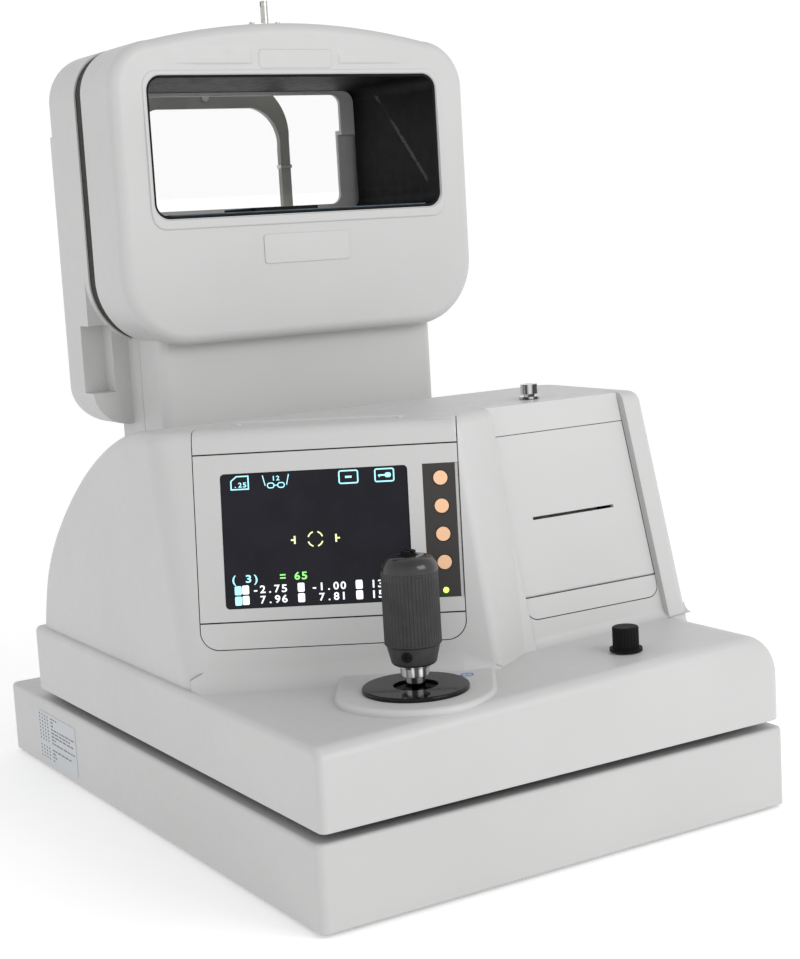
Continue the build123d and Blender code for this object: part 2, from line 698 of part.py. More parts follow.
def make_lift_screw():
    """Lead screw of the head lift with the gear at its foot."""
    screw = post(0, ROD_Y, CHASSIS_HIGH + 0.5, 245, SCREW_RADIUS)
    wheel = Pos(0, ROD_Y, LIFT_GEAR_Z) * gear(LIFT_GEAR_TEETH, 7, SCREW_RADIUS)
    return screw + wheel


def make_lift_bearing():
    housing = block(-12, 12, ROD_Y - 12, ROD_Y + 12, CHASSIS_HIGH, 94)
    return housing - post(0, ROD_Y, 80, 100, SCREW_RADIUS + RUNNING)


def make_motor_pinion():
    """The lift motor's shaft and pinion."""
    x = LIFT_PINION_X
    shaft = post(x, ROD_Y, 90, LIFT_GEAR_Z + 5, 2.5)
    wheel = Pos(x, ROD_Y, LIFT_GEAR_Z) * gear(MOTOR_PINION_TEETH, 7, 2.5)
    return shaft + wheel


def make_lift_motor():
    x = LIFT_PINION_X
    body = block(x - 9, x + 33, ROD_Y - 21, ROD_Y + 21, CHASSIS_HIGH, 96.5)
    return body - post(x, ROD_Y, 89.9, 100, 2.5 + RUNNING)


# ---------------------------------------------------------------- head
def head_face(inset):
    """Front outline of the head: arched top, large round lower corners."""
    side = HEAD_HALF_WIDTH
    low = HEAD_BOTTOM
    corner = HEAD_CORNER
    slant = corner * (1 - math.sqrt(0.5))
    right = (
        Line((0, low), (side - corner, low))
        + ThreePointArc((side - corner, low), (side - slant, low + slant), (side, low + corner))
        + Line((side, low + corner), (side, HEAD_SIDE_TOP))
        + ThreePointArc((side, HEAD_SIDE_TOP), (120.6, 472.2), (100, 481.5))
        + ThreePointArc((100, 481.5), (50, 489.7), (0, HEAD_TOP))
        + Line((0, HEAD_TOP), (0, low))
    )
    half = make_face(Plane.XZ * right)
    face = half + mirror(half, Plane.YZ)
    return offset(face, amount=-inset) if inset > 0 else face


def head_prism(inset, y_low, y_high):
    """The head's outline drawn out along Y."""
    return Pos(0, y_low, 0) * extrude(head_face(inset), y_high - y_low, dir=(0, 1, 0))


def window_cut(half_width, z_low, z_high, corner, y_low, y_high):
    """A rounded window along Y."""
    frame = Plane(origin=(0, y_high, (z_low + z_high) / 2), x_dir=(1, 0, 0), z_dir=(0, -1, 0))
    half_height = (z_high - z_low) / 2
    return plate(frame, -half_width, half_width, -half_height, half_height, 0, y_high - y_low, corner)


def round_prism_face(prism, y, radius):
    """The prism with the outline edges of its end face at y rounded."""
    end_edges = [edge for edge in prism.edges() if abs(edge.center().Y - y) < 0.1]
    return fillet(end_edges, radius)


def make_head_front_shell():
    outside = round_prism_face(head_prism(0, HEAD_FRONT, SEAM_Y), HEAD_FRONT, HEAD_FRONT_RADIUS)
    neck = block(-NECK_HALF_WIDTH, NECK_HALF_WIDTH, NECK_FRONT, SEAM_Y, NECK_BOTTOM, HEAD_BOTTOM + 20)
    neck = rounded(neck, 7.0, (-NECK_HALF_WIDTH, NECK_FRONT, 250), (NECK_HALF_WIDTH, NECK_FRONT, 250))
    hollow = head_prism(SHELL, HEAD_FRONT + SHELL, SEAM_Y + 1)
    hollow = round_prism_face(hollow, HEAD_FRONT + SHELL, HEAD_FRONT_RADIUS - SHELL)
    neck_hollow = block(-NECK_HALF_WIDTH + SHELL, NECK_HALF_WIDTH - SHELL, NECK_FRONT + SHELL,
                        SEAM_Y + 1, NECK_BOTTOM - 1, HEAD_BOTTOM + 20)
    shell = outside + neck - hollow - neck_hollow
    return shell - window_cut(WINDOW_HALF_WIDTH, WINDOW_LOW, WINDOW_HIGH, 10, HEAD_FRONT - 5, 50)


def hand_hold(side, grow):
    """The finger recess in the side of the lower rear housing."""
    inner = 114 - grow
    outer = 140
    low, high = sorted((side * inner, side * outer))
    return block(low, high, 96, 114 + grow, 262 - grow, 306 + grow)


def make_head_rear_shell():
    upper = round_prism_face(head_prism(0, REAR_SHELL_Y, REAR_FRAME_Y), REAR_FRAME_Y, 9)
    side = HEAD_HALF_WIDTH
    lower = block(-side, side, 100, REAR_HOUSING_Y, 240, 430)
    lower = rounded(lower, 12.0, (-side, REAR_HOUSING_Y, 330), (side, REAR_HOUSING_Y, 330))
    lower = rounded(lower, 24.0, (0, REAR_HOUSING_Y, 240))
    neck = block(-NECK_HALF_WIDTH, NECK_HALF_WIDTH, SEAM_Y + 0.4, NECK_REAR, NECK_BOTTOM, HEAD_BOTTOM + 12)
    outside = upper + lower + neck
    hollow = head_prism(SHELL, REAR_SHELL_Y - 1, REAR_FRAME_Y - SHELL)
    hollow = round_prism_face(hollow, REAR_FRAME_Y - SHELL, 9 - SHELL)
    rear = REAR_HOUSING_Y - SHELL
    inner_side = side - SHELL
    lower_hollow = block(-inner_side, inner_side, 103, rear, 243, 427)
    lower_hollow = rounded(lower_hollow, 9.0, (-inner_side, rear, 330), (inner_side, rear, 330))
    lower_hollow = rounded(lower_hollow, 21.0, (0, rear, 243))
    neck_hollow = block(-NECK_HALF_WIDTH + SHELL, NECK_HALF_WIDTH - SHELL, SEAM_Y - 1,
                        NECK_REAR - SHELL, NECK_BOTTOM - 1, HEAD_BOTTOM + 14)
    for side in (-1, 1):
        outside -= hand_hold(side, 0)
        hollow -= hand_hold(side, SHELL)
        lower_hollow -= hand_hold(side, SHELL)
    shell = outside - hollow - lower_hollow - neck_hollow
    return shell - window_cut(REAR_WINDOW_HALF_WIDTH, REAR_WINDOW_LOW, REAR_WINDOW_HIGH, 7, 120, 160)


def make_seam_gasket():
    """The dark band sunk in the gap between the two head shells."""
    band = head_prism(SHELL + 0.05, SEAM_Y - 4, REAR_SHELL_Y + 2.5)
    band += head_prism(GASKET_DEPTH, SEAM_Y + 0.1, REAR_SHELL_Y - 0.1)
    band -= head_prism(SHELL + 2.6, SEAM_Y - 5, REAR_SHELL_Y + 5)
    past_neck = NECK_HALF_WIDTH + 0.6
    return band - block(-past_neck, past_neck, 60, 120, 280, 325)


def make_tunnel_liner():
    outside = window_cut(WINDOW_HALF_WIDTH - 0.1, WINDOW_LOW + 0.1, WINDOW_HIGH - 0.1, 9.9,
                         HEAD_FRONT + 0.8, REAR_FRAME_Y - SHELL - 0.1)
    inside = window_cut(WINDOW_HALF_WIDTH - 1.7, WINDOW_LOW + 1.7, WINDOW_HIGH - 1.7, 8.3, 20, 160)
    return outside - inside - post(0, OPTIC_Y, 360, 380, 22)


def make_half_mirror():
    """The large half-silvered plate: top edge toward the patient, foot toward the operator."""
    glass = Box(2 * (WINDOW_HALF_WIDTH - 1.8), 98, 3)
    glass = fillet(glass.edges().filter_by(Axis.Z), 9)
    return Pos(0, 76, 419.5) * Rot(45, 0, 0) * glass


def make_objective_hood():
    hood = block(-25, 25, OPTIC_Y - 22, OPTIC_Y + 24, WINDOW_LOW + 1.7, WINDOW_LOW + 5)
    hood = fillet(hood.edges().filter_by(Axis.Z), 4)
    return hood - post(0, OPTIC_Y, 360, 390, 20)


def make_lens_barrel():
    return post(0, OPTIC_Y, BENCH_TOP, WINDOW_LOW + 1.6, 21) - post(0, OPTIC_Y, BENCH_TOP + 3, 380, 17)


def make_objective_lens():
    """The objective: a biconvex lens held in the barrel."""
    lens = Pos(0, OPTIC_Y, 362 - 34) * Sphere(40) & Pos(0, OPTIC_Y, 362 + 34) * Sphere(40)
    return lens & post(0, OPTIC_Y, 340, 380, 16.9)


def make_ring_light():
    ring = post(0, OPTIC_Y, WINDOW_LOW + 1.7, WINDOW_LOW + 4.2, 19.9)
    return ring - post(0, OPTIC_Y, 360, 390, 15)


def make_head_carriage():
    """Light alloy frame of the head: bushings on the guide rods, nut on the screw, optics deck."""
    deck_low = block(-96, 96, 55, 112, 176, 182)
    deck_high = block(-96, 96, 55, 112, BENCH_TOP - 4, BENCH_TOP)
    frame = deck_low + deck_high + post(0, ROD_Y, 168, 190, 10)
    for side in (-1, 1):
        low, high = sorted((side * 93, side * 96))
        frame += block(low, high, 56, 111, 182, BENCH_TOP - 4)
        frame += post(side * ROD_X, ROD_Y, 182, 250, 9)
        frame -= post(side * ROD_X, ROD_Y, 160, 320, ROD_RADIUS + RUNNING)
    return frame - post(0, ROD_Y, 150, 260, SCREW_RADIUS + 0.3)


def make_optical_bench():
    """The measuring optics under the objective."""
    body = block(-48, 48, 80, 112, 215, BENCH_TOP - 4)
    prism_housing = block(-20, 20, 80, 108, 200, 215)
    return body + prism_housing


def make_camera():
    """The alignment camera behind the optical bench."""
    barrel = bar_y(0, 112, 138, 300, 13)
    board = block(-20, 20, 138, 140, 280, 320)
    return barrel + board


def make_top_post():
    """The accessory post on the head, with a slotted tip and a screwed flange."""
    z = HEAD_TOP + 0.1
    flange = block(-13, 13, POST_Y - 6, POST_Y + 6, z, z + 3)
    flange = fillet(flange.edges().filter_by(Axis.Z), 3)
    stem = post(0, POST_Y, z + 3, z + 18, 2.5)
    slot = block(-3, 3, POST_Y - 0.6, POST_Y + 0.6, z + 14.5, z + 19)
    for x in (-9.5, 9.5):
        stem += post(x, POST_Y, z + 3, z + 4.4, 1.8)
    return flange + stem - slot


def make_blank_badge():
    badge = block(-31.5, 31.5, HEAD_FRONT - 0.6, HEAD_FRONT, 340, 358.5)
    return fillet(badge.edges().filter_by(Axis.Y), 2)


# ---------------------------------------------------------------- base
def make_base_cover():
    outside = block(-BASE_WIDTH / 2, BASE_WIDTH / 2, -BASE_DEPTH / 2, BASE_DEPTH / 2, FOOT_HEIGHT, BASE_TOP)
    outside = fillet(outside.edges().filter_by(Axis.Z), 5)
    outside = fillet(outside.faces().sort_by(Axis.Z)[-1].edges(), 2.5)
    inner_x = BASE_WIDTH / 2 - SHELL
    inner_y = BASE_DEPTH / 2 - SHELL
    cover = outside - block(-inner_x, inner_x, -inner_y, inner_y, 0, BASE_TOP - SHELL)
    rear = BASE_DEPTH / 2
    cover -= block(-124, -96, rear - 10, rear + 5, 14, 35)
    cover -= block(-86, -71, rear - 10, rear + 5, 14, 35)
    cover -= block(60, 92, rear - 10, rear + 5, 17, 31)
    return cover - bar_y(108, rear - 10, rear + 5, 24, 5)


def make_base_plate():
    half_x = BASE_WIDTH / 2 - SHELL - 0.2
    half_y = BASE_DEPTH / 2 - SHELL - 0.2
    floor = block(-half_x, half_x, -half_y, half_y, FOOT_HEIGHT, FOOT_HEIGHT + 2)
    for x in (-BOLT_X, BOLT_X):
        for y in (-BOLT_Y, BOLT_Y):
            floor += post(x, y, FOOT_HEIGHT + 2, FOOT_HEIGHT + 12, 6)
            floor -= post(x, y, FOOT_HEIGHT - 1, FOOT_HEIGHT + 10, BOLT_RADIUS)
    return floor


def make_feet():
    feet = []
    for x in (-FOOT_X, FOOT_X):
        for y in (-FOOT_Y, FOOT_Y):
            foot = post(x, y, 0, FOOT_HEIGHT, 11)
            feet.append(fillet(foot.edges().sort_by(Axis.Z)[0], 0.8))
    return Compound(children=feet)


def rack(x):
    """A rack along Y on the base, in mesh with the pinion over it at rest."""
    pitch = math.pi * GEAR_MODULE
    pitch_z = AXLE_Z - GEAR_MODULE * PINION_TEETH / 2
    root_z = pitch_z - 1.15 * GEAR_MODULE
    tip_z = pitch_z + 0.8 * GEAR_MODULE
    half_length = RACK_LENGTH / 2
    body = block(x - 5, x + 5, AXLE_Y - half_length, AXLE_Y + half_length, BASE_TOP, root_z)
    count = int(half_length / pitch) - 1
    tooth = Polyline((-0.95, root_z - 0.4), (-0.33, tip_z), (0.33, tip_z), (0.95, root_z - 0.4), close=True)
    tooth_body = extrude(make_face(Plane.YZ * tooth), 10, dir=(1, 0, 0))
    for index in range(-count, count + 1):
        body += Pos(x - 5, AXLE_Y + index * pitch, 0) * tooth_body
    return body


def make_gear_racks():
    return Compound(children=[rack(-RACK_X), rack(RACK_X)])


def make_axle_guides():
    """Slide blocks that carry the ends of the axle along the base."""
    guides = []
    for side in (-1, 1):
        low, high = sorted((side * 104, side * 111))
        guide = block(low, high, AXLE_Y - 9, AXLE_Y + 9, BASE_TOP + 0.2, AXLE_Z + 8)
        guides.append(guide - bar_x(low - 1, high + 1, AXLE_Y, AXLE_Z, AXLE_RADIUS + RUNNING))
    return Compound(children=guides)


def make_cross_axle():
    return bar_x(-112.5, 112.5, AXLE_Y, AXLE_Z, AXLE_RADIUS)


def make_pinions():
    """The axle's two pinions. Each has a tooth gap straight down, over a rack tooth."""
    pinions = []
    for x in (-RACK_X, RACK_X):
        wheel = gear(PINION_TEETH, 9, AXLE_RADIUS)
        pinions.append(Pos(x, AXLE_Y, AXLE_Z) * Rot(0, -90, 0) * wheel)
    return Compound(children=pinions)


def make_friction_plate():
    plate_body = block(STICK_X - 58, STICK_X + 58, STICK_Y - 36, STICK_Y + 36, BASE_TOP, BASE_TOP + 1.5)
    return fillet(plate_body.edges().filter_by(Axis.Z), 6)


def make_power_inlet():
    """Mains inlet with three blades in its recess."""
    rear = BASE_DEPTH / 2
    body = block(-123.8, -96.2, rear - 22, rear, 14.2, 34.8) + block(-126, -94, rear, rear + 1.6, 12, 37)
    body -= block(-122, -98, rear - 16, rear + 3, 16.5, 32.5)
    for x, z in ((-117, 22), (-103, 22), (-110, 27)):
        body += block(x - 1, x + 1, rear - 18, rear - 3, z - 2, z + 2)
    return body


def make_switch_frame():
    rear = BASE_DEPTH / 2
    frame = block(-85.8, -71.2, rear - 16, rear, 14.2, 34.8) + block(-88, -69, rear, rear + 1.6, 12, 37)
    frame -= block(-84, -73, rear - 14, rear + 3, 16, 33)
    return frame


def make_power_switch():
    """The rocker, round about its pivot, with a dip between its two ends."""
    rear = BASE_DEPTH / 2
    rocker = bar_x(-83.7, -73.3, rear - 4.5, SWITCH_Z, 8.0)
    rocker &= block(-90, -60, rear - 9, rear + 3.2, SWITCH_Z - 7.6, SWITCH_Z + 7.6)
    return rocker


def make_data_sockets():
    """A nine-way data socket and a round video socket."""
    rear = BASE_DEPTH / 2
    shell = block(60.2, 91.8, rear - 8, rear + 1.2, 17.2, 30.8)
    shell += block(66.5, 85.5, rear + 1.2, rear + 5.5, 19.5, 28.5)
    for index in range(5):
        x = 70 + 3 * index
        shell -= bar_y(x, rear + 2, rear + 6, 25.6, 0.6)
    for index in range(4):
        x = 71.5 + 3 * index
        shell -= bar_y(x, rear + 2, rear + 6, 22.4, 0.6)
    video = bar_y(108, rear - 8, rear + 1, 24, 4.9) + bar_y(108, rear + 1, rear + 7, 24, 4.1)
    video -= bar_y(108, rear + 3, rear + 8, 24, 1.5)
    return [shell, video]


def make_rating_label():
    label = block(-BASE_WIDTH / 2 - 0.3, -BASE_WIDTH / 2, 105.5, 175.5, 6.5, 41)
    return fillet(label.edges().filter_by(Axis.X), 2)


# ---------------------------------------------------------------- patient side
def make_forehead_arch():
    """Flat steel hoop: band across the forehead, legs cranked back to the base."""
    outer = LEG_X + LEG_WIDTH / 2
    inner = LEG_X - LEG_WIDTH / 2
    low = 300
    hoop = (
        Line((outer, low), (outer, 426))
        + ThreePointArc((outer, 426), (59, 453), (39.4, 467.8))
        + ThreePointArc((39.4, 467.8), (0, 471), (-39.4, 467.8))
        + ThreePointArc((-39.4, 467.8), (-59, 453), (-outer, 426))
        + Line((-outer, 426), (-outer, low))
        + Line((-outer, low), (-inner, low))
        + Line((-inner, low), (-inner, 420))
        + ThreePointArc((-inner, 420), (-53.3, 439.5), (-38, 449.5))
        + Line((-38, 449.5), (38, 449.5))
        + ThreePointArc((38, 449.5), (53.3, 439.5), (inner, 420))
        + Line((inner, 420), (inner, low))
        + Line((inner, low), (outer, low))
    )
    face = make_face(Plane.XZ * hoop)
    arch = Pos(0, ARCH_FRONT, 0) * extrude(face, ARCH_THICKNESS, dir=(0, 1, 0))
    rear = ARCH_FRONT + ARCH_THICKNESS
    crank = Polyline(
        (ARCH_FRONT, low), (rear, low), (LEG_FOOT_Y + 2.5, 205), (LEG_FOOT_Y + 2.5, BASE_TOP),
        (LEG_FOOT_Y - 2.5, BASE_TOP), (LEG_FOOT_Y - 2.5, 204), close=True)
    leg = extrude(make_face(Plane.YZ * crank), LEG_WIDTH, dir=(1, 0, 0))
    for side in (-1, 1):
        arch += Pos(side * LEG_X - LEG_WIDTH / 2, 0, 0) * leg
    for z in ARCH_SCREW_Z:
        arch -= bar_y(0, ARCH_FRONT - 5, rear + 5, z, 1.5)
    return arch


def make_arch_sockets():
    """Collars on the base that clamp the feet of the hoop."""
    sockets = []
    for side in (-1, 1):
        x = side * LEG_X
        collar = block(x - 9, x + 9, LEG_FOOT_Y - 9, LEG_FOOT_Y + 9, BASE_TOP, BASE_TOP + 18)
        collar = fillet(collar.edges().filter_by(Axis.Z), 3)
        half = LEG_WIDTH / 2
        sockets.append(collar - block(x - half, x + half, LEG_FOOT_Y - 2.5, LEG_FOOT_Y + 2.5, 40, 90))
    return sockets


def make_forehead_pad():
    """Soft pad on the patient's side of the band."""
    rear = ARCH_FRONT + ARCH_THICKNESS
    pad = block(-44, 44, rear + 0.1, rear + 10, 450, 468)
    return fillet(pad.edges().filter_by(Axis.Z), 4)


def make_arch_screws():
    screws = []
    for z in ARCH_SCREW_Z:
        head = bar_y(0, ARCH_FRONT - 1.6, ARCH_FRONT, z, 2.7)
        screws.append(head + bar_y(0, ARCH_FRONT, ARCH_FRONT + ARCH_THICKNESS, z, 1.4))
    return screws


def make_eye_level_marks():
    """Rings on the hoop's legs at the height of the patient's eye."""
    marks = []
    rear = ARCH_FRONT + ARCH_THICKNESS
    for side in (-1, 1):
        x = side * LEG_X
        half = LEG_WIDTH / 2
        ring = block(x - half - 0.7, x + half + 0.7, ARCH_FRONT - 0.7, rear + 0.7,
                     EYE_LEVEL_Z - 1.2, EYE_LEVEL_Z + 1.2)
        marks.append(ring - block(x - half, x + half, ARCH_FRONT, rear, 400, 415))
    return marks


def make_chin_column():
    column = block(-24, 24, CHIN_Y - 9, CHIN_Y + 19, BASE_TOP, CHIN_COLUMN_TOP)
    column = fillet(column.edges().filter_by(Axis.Z), 7)
    column = fillet(column.faces().sort_by(Axis.Z)[-1].edges(), 2)
    column -= post(0, CHIN_STEM_Y, 85, CHIN_COLUMN_TOP + 5, CHIN_STEM_RADIUS + RUNNING)
    return column - bar_x(13, 30, CHIN_STEM_Y, CHIN_KNOB_Z, 3 + RUNNING)


def make_chin_cup():
    """Chin cup on its stem: a shallow dish with a raised rim."""
    stem = post(0, CHIN_STEM_Y, 130, CHIN_TOP_Z - 12, CHIN_STEM_RADIUS)
    dish = block(-36, 36, CHIN_Y - 17, CHIN_Y + 27, CHIN_TOP_Z - 12, CHIN_TOP_Z)
    dish = fillet(dish.edges().filter_by(Axis.Z), 12)
    bowl = Pos(0, CHIN_Y + 5, CHIN_TOP_Z + 88) * Sphere(95)
    pins = post(-32, CHIN_Y + 5, CHIN_TOP_Z - 2, CHIN_TOP_Z + 6, 1.5)
    pins += post(32, CHIN_Y + 5, CHIN_TOP_Z - 2, CHIN_TOP_Z + 6, 1.5)
    return dish - bowl + stem + pins


def make_chin_knob():
    """Knurled knob that drives the chin rest."""
    shaft = bar_x(14, 24.5, CHIN_STEM_Y, CHIN_KNOB_Z, 3)
    wheel = bar_x(24.5, 37, CHIN_STEM_Y, CHIN_KNOB_Z, 13)
    for index in range(20):
        groove = Pos(13.5, 0, 6.2) * Cylinder(1.1, 16)
        wheel -= Pos(24.5, CHIN_STEM_Y, CHIN_KNOB_Z) * Rot(0, 90, 0) * Rot(0, 0, 18 * index) * groove
    return shaft + wheel


# ---------------------------------------------------------------- all nodes
def all_parts():
    """Every node of the instrument by name."""
    skin = stage_skin()
    parts = {
        "body_cover": make_body_cover(skin),
        "display_bezel": make_display_bezel(skin),
        "key_label": make_key_label(),
        "display_glass": make_display_glass(),
        "lcd_module": Compound(children=[make_lcd_module(), make_key_board()]),
        "power_lamp": make_power_lamp(),
        "printer_bezel": make_printer_bezel(skin),
        "printer_door": make_printer_door(),
        "printer_frame": Compound(children=[make_printer_frame(), make_paper_spindle()]),
        "platen_roller": make_platen(),
        "paper_roll": make_paper_roll(),
        "joystick_disc": make_joystick_disc(),
        "joystick_socket": make_joystick_socket(),
        "gimbal_ring": make_gimbal_ring(),
        "joystick_shaft": make_joystick_shaft(),
        "joystick_grip": make_joystick_grip(),
        "grip_screw": make_grip_screw(),
        "joystick_button": make_top_button(),
        "lock_knob": make_lock_knob(),
        "thumb_screw": make_thumb_screw(),
        "chassis_plate": make_chassis_plate(),
        "bearing_blocks": Compound(children=[*make_axle_bearings(), make_lift_bearing()]),
        "main_board": make_main_board(),
        "power_supply": make_power_supply(),
        "guide_rods": make_guide_rods(),
        "lift_screw": make_lift_screw(),
        "motor_pinion": make_motor_pinion(),
        "lift_motor": make_lift_motor(),
        "head_front_shell": make_head_front_shell(),
        "head_rear_shell": make_head_rear_shell(),
        "head_seam_gasket": make_seam_gasket(),
        "tunnel_liner": make_tunnel_liner(),
        "half_mirror": make_half_mirror(),
        "objective_hood": Compound(children=[make_objective_hood(), make_ring_light()]),
        "objective_lens": make_objective_lens(),
        "head_carriage": make_head_carriage(),
        "optical_bench": Compound(children=[make_optical_bench(), make_camera(), make_lens_barrel()]),
        "top_post": make_top_post(),
        "blank_badge": make_blank_badge(),
        "base_cover": make_base_cover(),
        "base_plate": make_base_plate(),
        "rubber_feet": make_feet(),
        "gear_racks": make_gear_racks(),
        "axle_guides": make_axle_guides(),
        "cross_axle": make_cross_axle(),
        "axle_pinions": make_pinions(),
        "friction_plate": make_friction_plate(),
        "rear_sockets": Compound(children=[make_power_inlet(), make_switch_frame(), *make_data_sockets()]),
        "power_switch": make_power_switch(),
        "rating_label": make_rating_label(),
        "forehead_arch": make_forehead_arch(),
        "forehead_pad": make_forehead_pad(),
        "arch_fittings": Compound(children=[*make_arch_screws(), *make_eye_level_marks()]),
        "chin_column": Compound(children=[make_chin_column(), *make_arch_sockets()]),
        "chin_cup": make_chin_cup(),
        "chin_knob": make_chin_knob(),
    }
    for number, button_v in enumerate(BUTTON_V, start=1):
        parts[f"key_{number}"] = make_key(button_v)
    return parts


os.makedirs("parts", exist_ok=True)
for name, shape in all_parts().items():
    export_step(shape, f"parts/{name}.step")
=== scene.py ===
import json
import math
import random

import bmesh
import bpy
from mathutils import Matrix, Vector


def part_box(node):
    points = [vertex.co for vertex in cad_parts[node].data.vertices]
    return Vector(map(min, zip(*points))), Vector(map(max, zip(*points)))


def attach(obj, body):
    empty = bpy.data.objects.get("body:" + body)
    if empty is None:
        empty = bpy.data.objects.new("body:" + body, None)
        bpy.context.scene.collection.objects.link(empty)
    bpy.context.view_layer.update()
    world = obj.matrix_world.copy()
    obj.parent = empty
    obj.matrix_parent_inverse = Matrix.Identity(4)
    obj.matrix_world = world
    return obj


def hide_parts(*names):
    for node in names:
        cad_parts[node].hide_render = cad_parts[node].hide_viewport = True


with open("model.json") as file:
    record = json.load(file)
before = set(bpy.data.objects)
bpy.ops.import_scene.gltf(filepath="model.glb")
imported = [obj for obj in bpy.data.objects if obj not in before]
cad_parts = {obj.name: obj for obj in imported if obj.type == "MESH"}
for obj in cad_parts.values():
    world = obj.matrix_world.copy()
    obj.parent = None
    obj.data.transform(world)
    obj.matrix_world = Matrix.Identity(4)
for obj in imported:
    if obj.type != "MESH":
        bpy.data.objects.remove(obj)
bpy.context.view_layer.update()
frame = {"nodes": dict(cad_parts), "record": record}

MM = 0.001
UP = Vector((0, 0, 1))
SCENE = bpy.context.scene
NODES = frame["nodes"]


# ---------------------------------------------------------------- camera, light, floor
CAMERA_PLACE = Vector((-0.5676, -1.0030, 0.3581))
CAMERA_RIGHT = Vector((0.84966, -0.52416, -0.05767))
CAMERA_UP = Vector((0.12170, 0.08850, 0.98860))
LENS_MM = 67.3
SENSOR_WIDTH_MM = 36.0
FAR_CLIP = 50.0

KEY_PLACE = (0.35, -1.05, 0.75)
KEY_TARGET = (0, -0.1, 0.15)
KEY_SIZE = (0.6, 0.5)
KEY_POWER = 3.9

SKY_LOW = (1.03, 1.03, 1.03)
SKY_HIGH = (0.66, 0.66, 0.67)
FLOOR_RADIUS = 14
FLOOR_GLOW = 0.26


def make_camera():
    """The photograph's view: from the front left, at the height of the measuring head."""
    backward = CAMERA_RIGHT.cross(CAMERA_UP)
    camera_data = bpy.data.cameras.new("camera")
    camera_data.lens = LENS_MM
    camera_data.sensor_width = SENSOR_WIDTH_MM
    camera_data.dof.use_dof = False
    camera_data.clip_end = FAR_CLIP
    camera = bpy.data.objects.new("camera", camera_data)
    turn = Matrix((CAMERA_RIGHT, CAMERA_UP, backward)).transposed().to_4x4()
    camera.matrix_world = Matrix.Translation(CAMERA_PLACE) @ turn
    SCENE.collection.objects.link(camera)
    SCENE.camera = camera


def make_sky():
    """An even white sky, brightest near the horizon."""
    world = bpy.data.worlds.new("studio")
    world.use_nodes = True
    tree = world.node_tree
    background = tree.nodes["Background"]
    background.inputs["Strength"].default_value = 1.0
    direction = tree.nodes.new("ShaderNodeTexCoord")
    split = tree.nodes.new("ShaderNodeSeparateXYZ")
    tree.links.new(direction.outputs["Generated"], split.inputs["Vector"])
    ramp_colour(tree, split.outputs["Z"], SKY_LOW, SKY_HIGH, background.inputs["Color"], 0.25, 0.9)
    SCENE.world = world


def make_key_light():
    """One soft light in front, over the operator's right shoulder."""
    data = bpy.data.lights.new("key_light", "AREA")
    data.shape = "RECTANGLE"
    data.size, data.size_y = KEY_SIZE
    data.energy = KEY_POWER
    light = bpy.data.objects.new("key_light", data)
    light.visible_camera = False
    away = (Vector(KEY_PLACE) - Vector(KEY_TARGET)).normalized()
    light.matrix_world = Matrix.Translation(KEY_PLACE) @ away.to_track_quat("Z", "Y").to_matrix().to_4x4()
    SCENE.collection.objects.link(light)


def make_floor():
    """A plain pale disc, with a little light of its own so that it meets the sky without an edge."""
    mesh = bpy.data.meshes.new("floor")
    form = bmesh.new()
    bmesh.ops.create_circle(form, cap_ends=True, radius=FLOOR_RADIUS, segments=96)
    form.to_mesh(mesh)
    form.free()
    floor = bpy.data.objects.new("floor", mesh)
    SCENE.collection.objects.link(floor)
    paint, tree, shader = new_material("floor_paint")
    shader.inputs["Roughness"].default_value = 0.75
    surface_colour(tree, shader, noise(tree, 3.0, 3), (0.925, 0.925, 0.925), (0.93, 0.93, 0.93))
    shader.inputs["Emission Color"].default_value = (1, 1, 1, 1)
    shader.inputs["Emission Strength"].default_value = FLOOR_GLOW
    mesh.materials.append(paint)


def make_studio():
    """Soft white studio: sky, key light and floor."""
    SCENE.view_settings.view_transform = "Standard"
    SCENE.view_settings.look = "None"
    make_sky()
    make_key_light()
    make_floor()


# ---------------------------------------------------------------- materials
def new_material(name):
    material = bpy.data.materials.new(name)
    material.use_nodes = True
    tree = material.node_tree
    return material, tree, tree.nodes["Principled BSDF"]


def noise(tree, scale, detail=2.0, stretch=(1, 1, 1)):
    """A noise in the object's own coordinates. Scale is in cells per metre."""
    place = tree.nodes.new("ShaderNodeTexCoord")
    mapping = tree.nodes.new("ShaderNodeMapping")
    mapping.inputs["Scale"].default_value = stretch
    texture = tree.nodes.new("ShaderNodeTexNoise")
    texture.inputs["Scale"].default_value = scale
    texture.inputs["Detail"].default_value = detail
    tree.links.new(place.outputs["Object"], mapping.inputs["Vector"])
    tree.links.new(mapping.outputs["Vector"], texture.inputs["Vector"])
    return texture.outputs["Fac"]


def ramp_colour(tree, source, dark, light, target, low=0.35, high=0.65):
    """Blends two colours by a noise into a colour socket."""
    ramp = tree.nodes.new("ShaderNodeValToRGB")
    ramp.color_ramp.elements[0].position = low
    ramp.color_ramp.elements[0].color = (*dark, 1)
    ramp.color_ramp.elements[1].position = high
    ramp.color_ramp.elements[1].color = (*light, 1)
    tree.links.new(source, ramp.inputs["Fac"])
    tree.links.new(ramp.outputs["Color"], target)


def surface_colour(tree, shader, source, dark, light, low=0.35, high=0.65):
    """Blends two colours by a noise into the base colour."""
    ramp_colour(tree, source, dark, light, shader.inputs["Base Color"], low, high)


def roughen(tree, shader, source, low, high):
    """Spreads a noise between two values into the roughness."""
    spread = tree.nodes.new("ShaderNodeMapRange")
    spread.inputs["From Min"].default_value = 0.3
    spread.inputs["From Max"].default_value = 0.7
    spread.inputs["To Min"].default_value = low
    spread.inputs["To Max"].default_value = high
    tree.links.new(source, spread.inputs["Value"])
    tree.links.new(spread.outputs["Result"], shader.inputs["Roughness"])


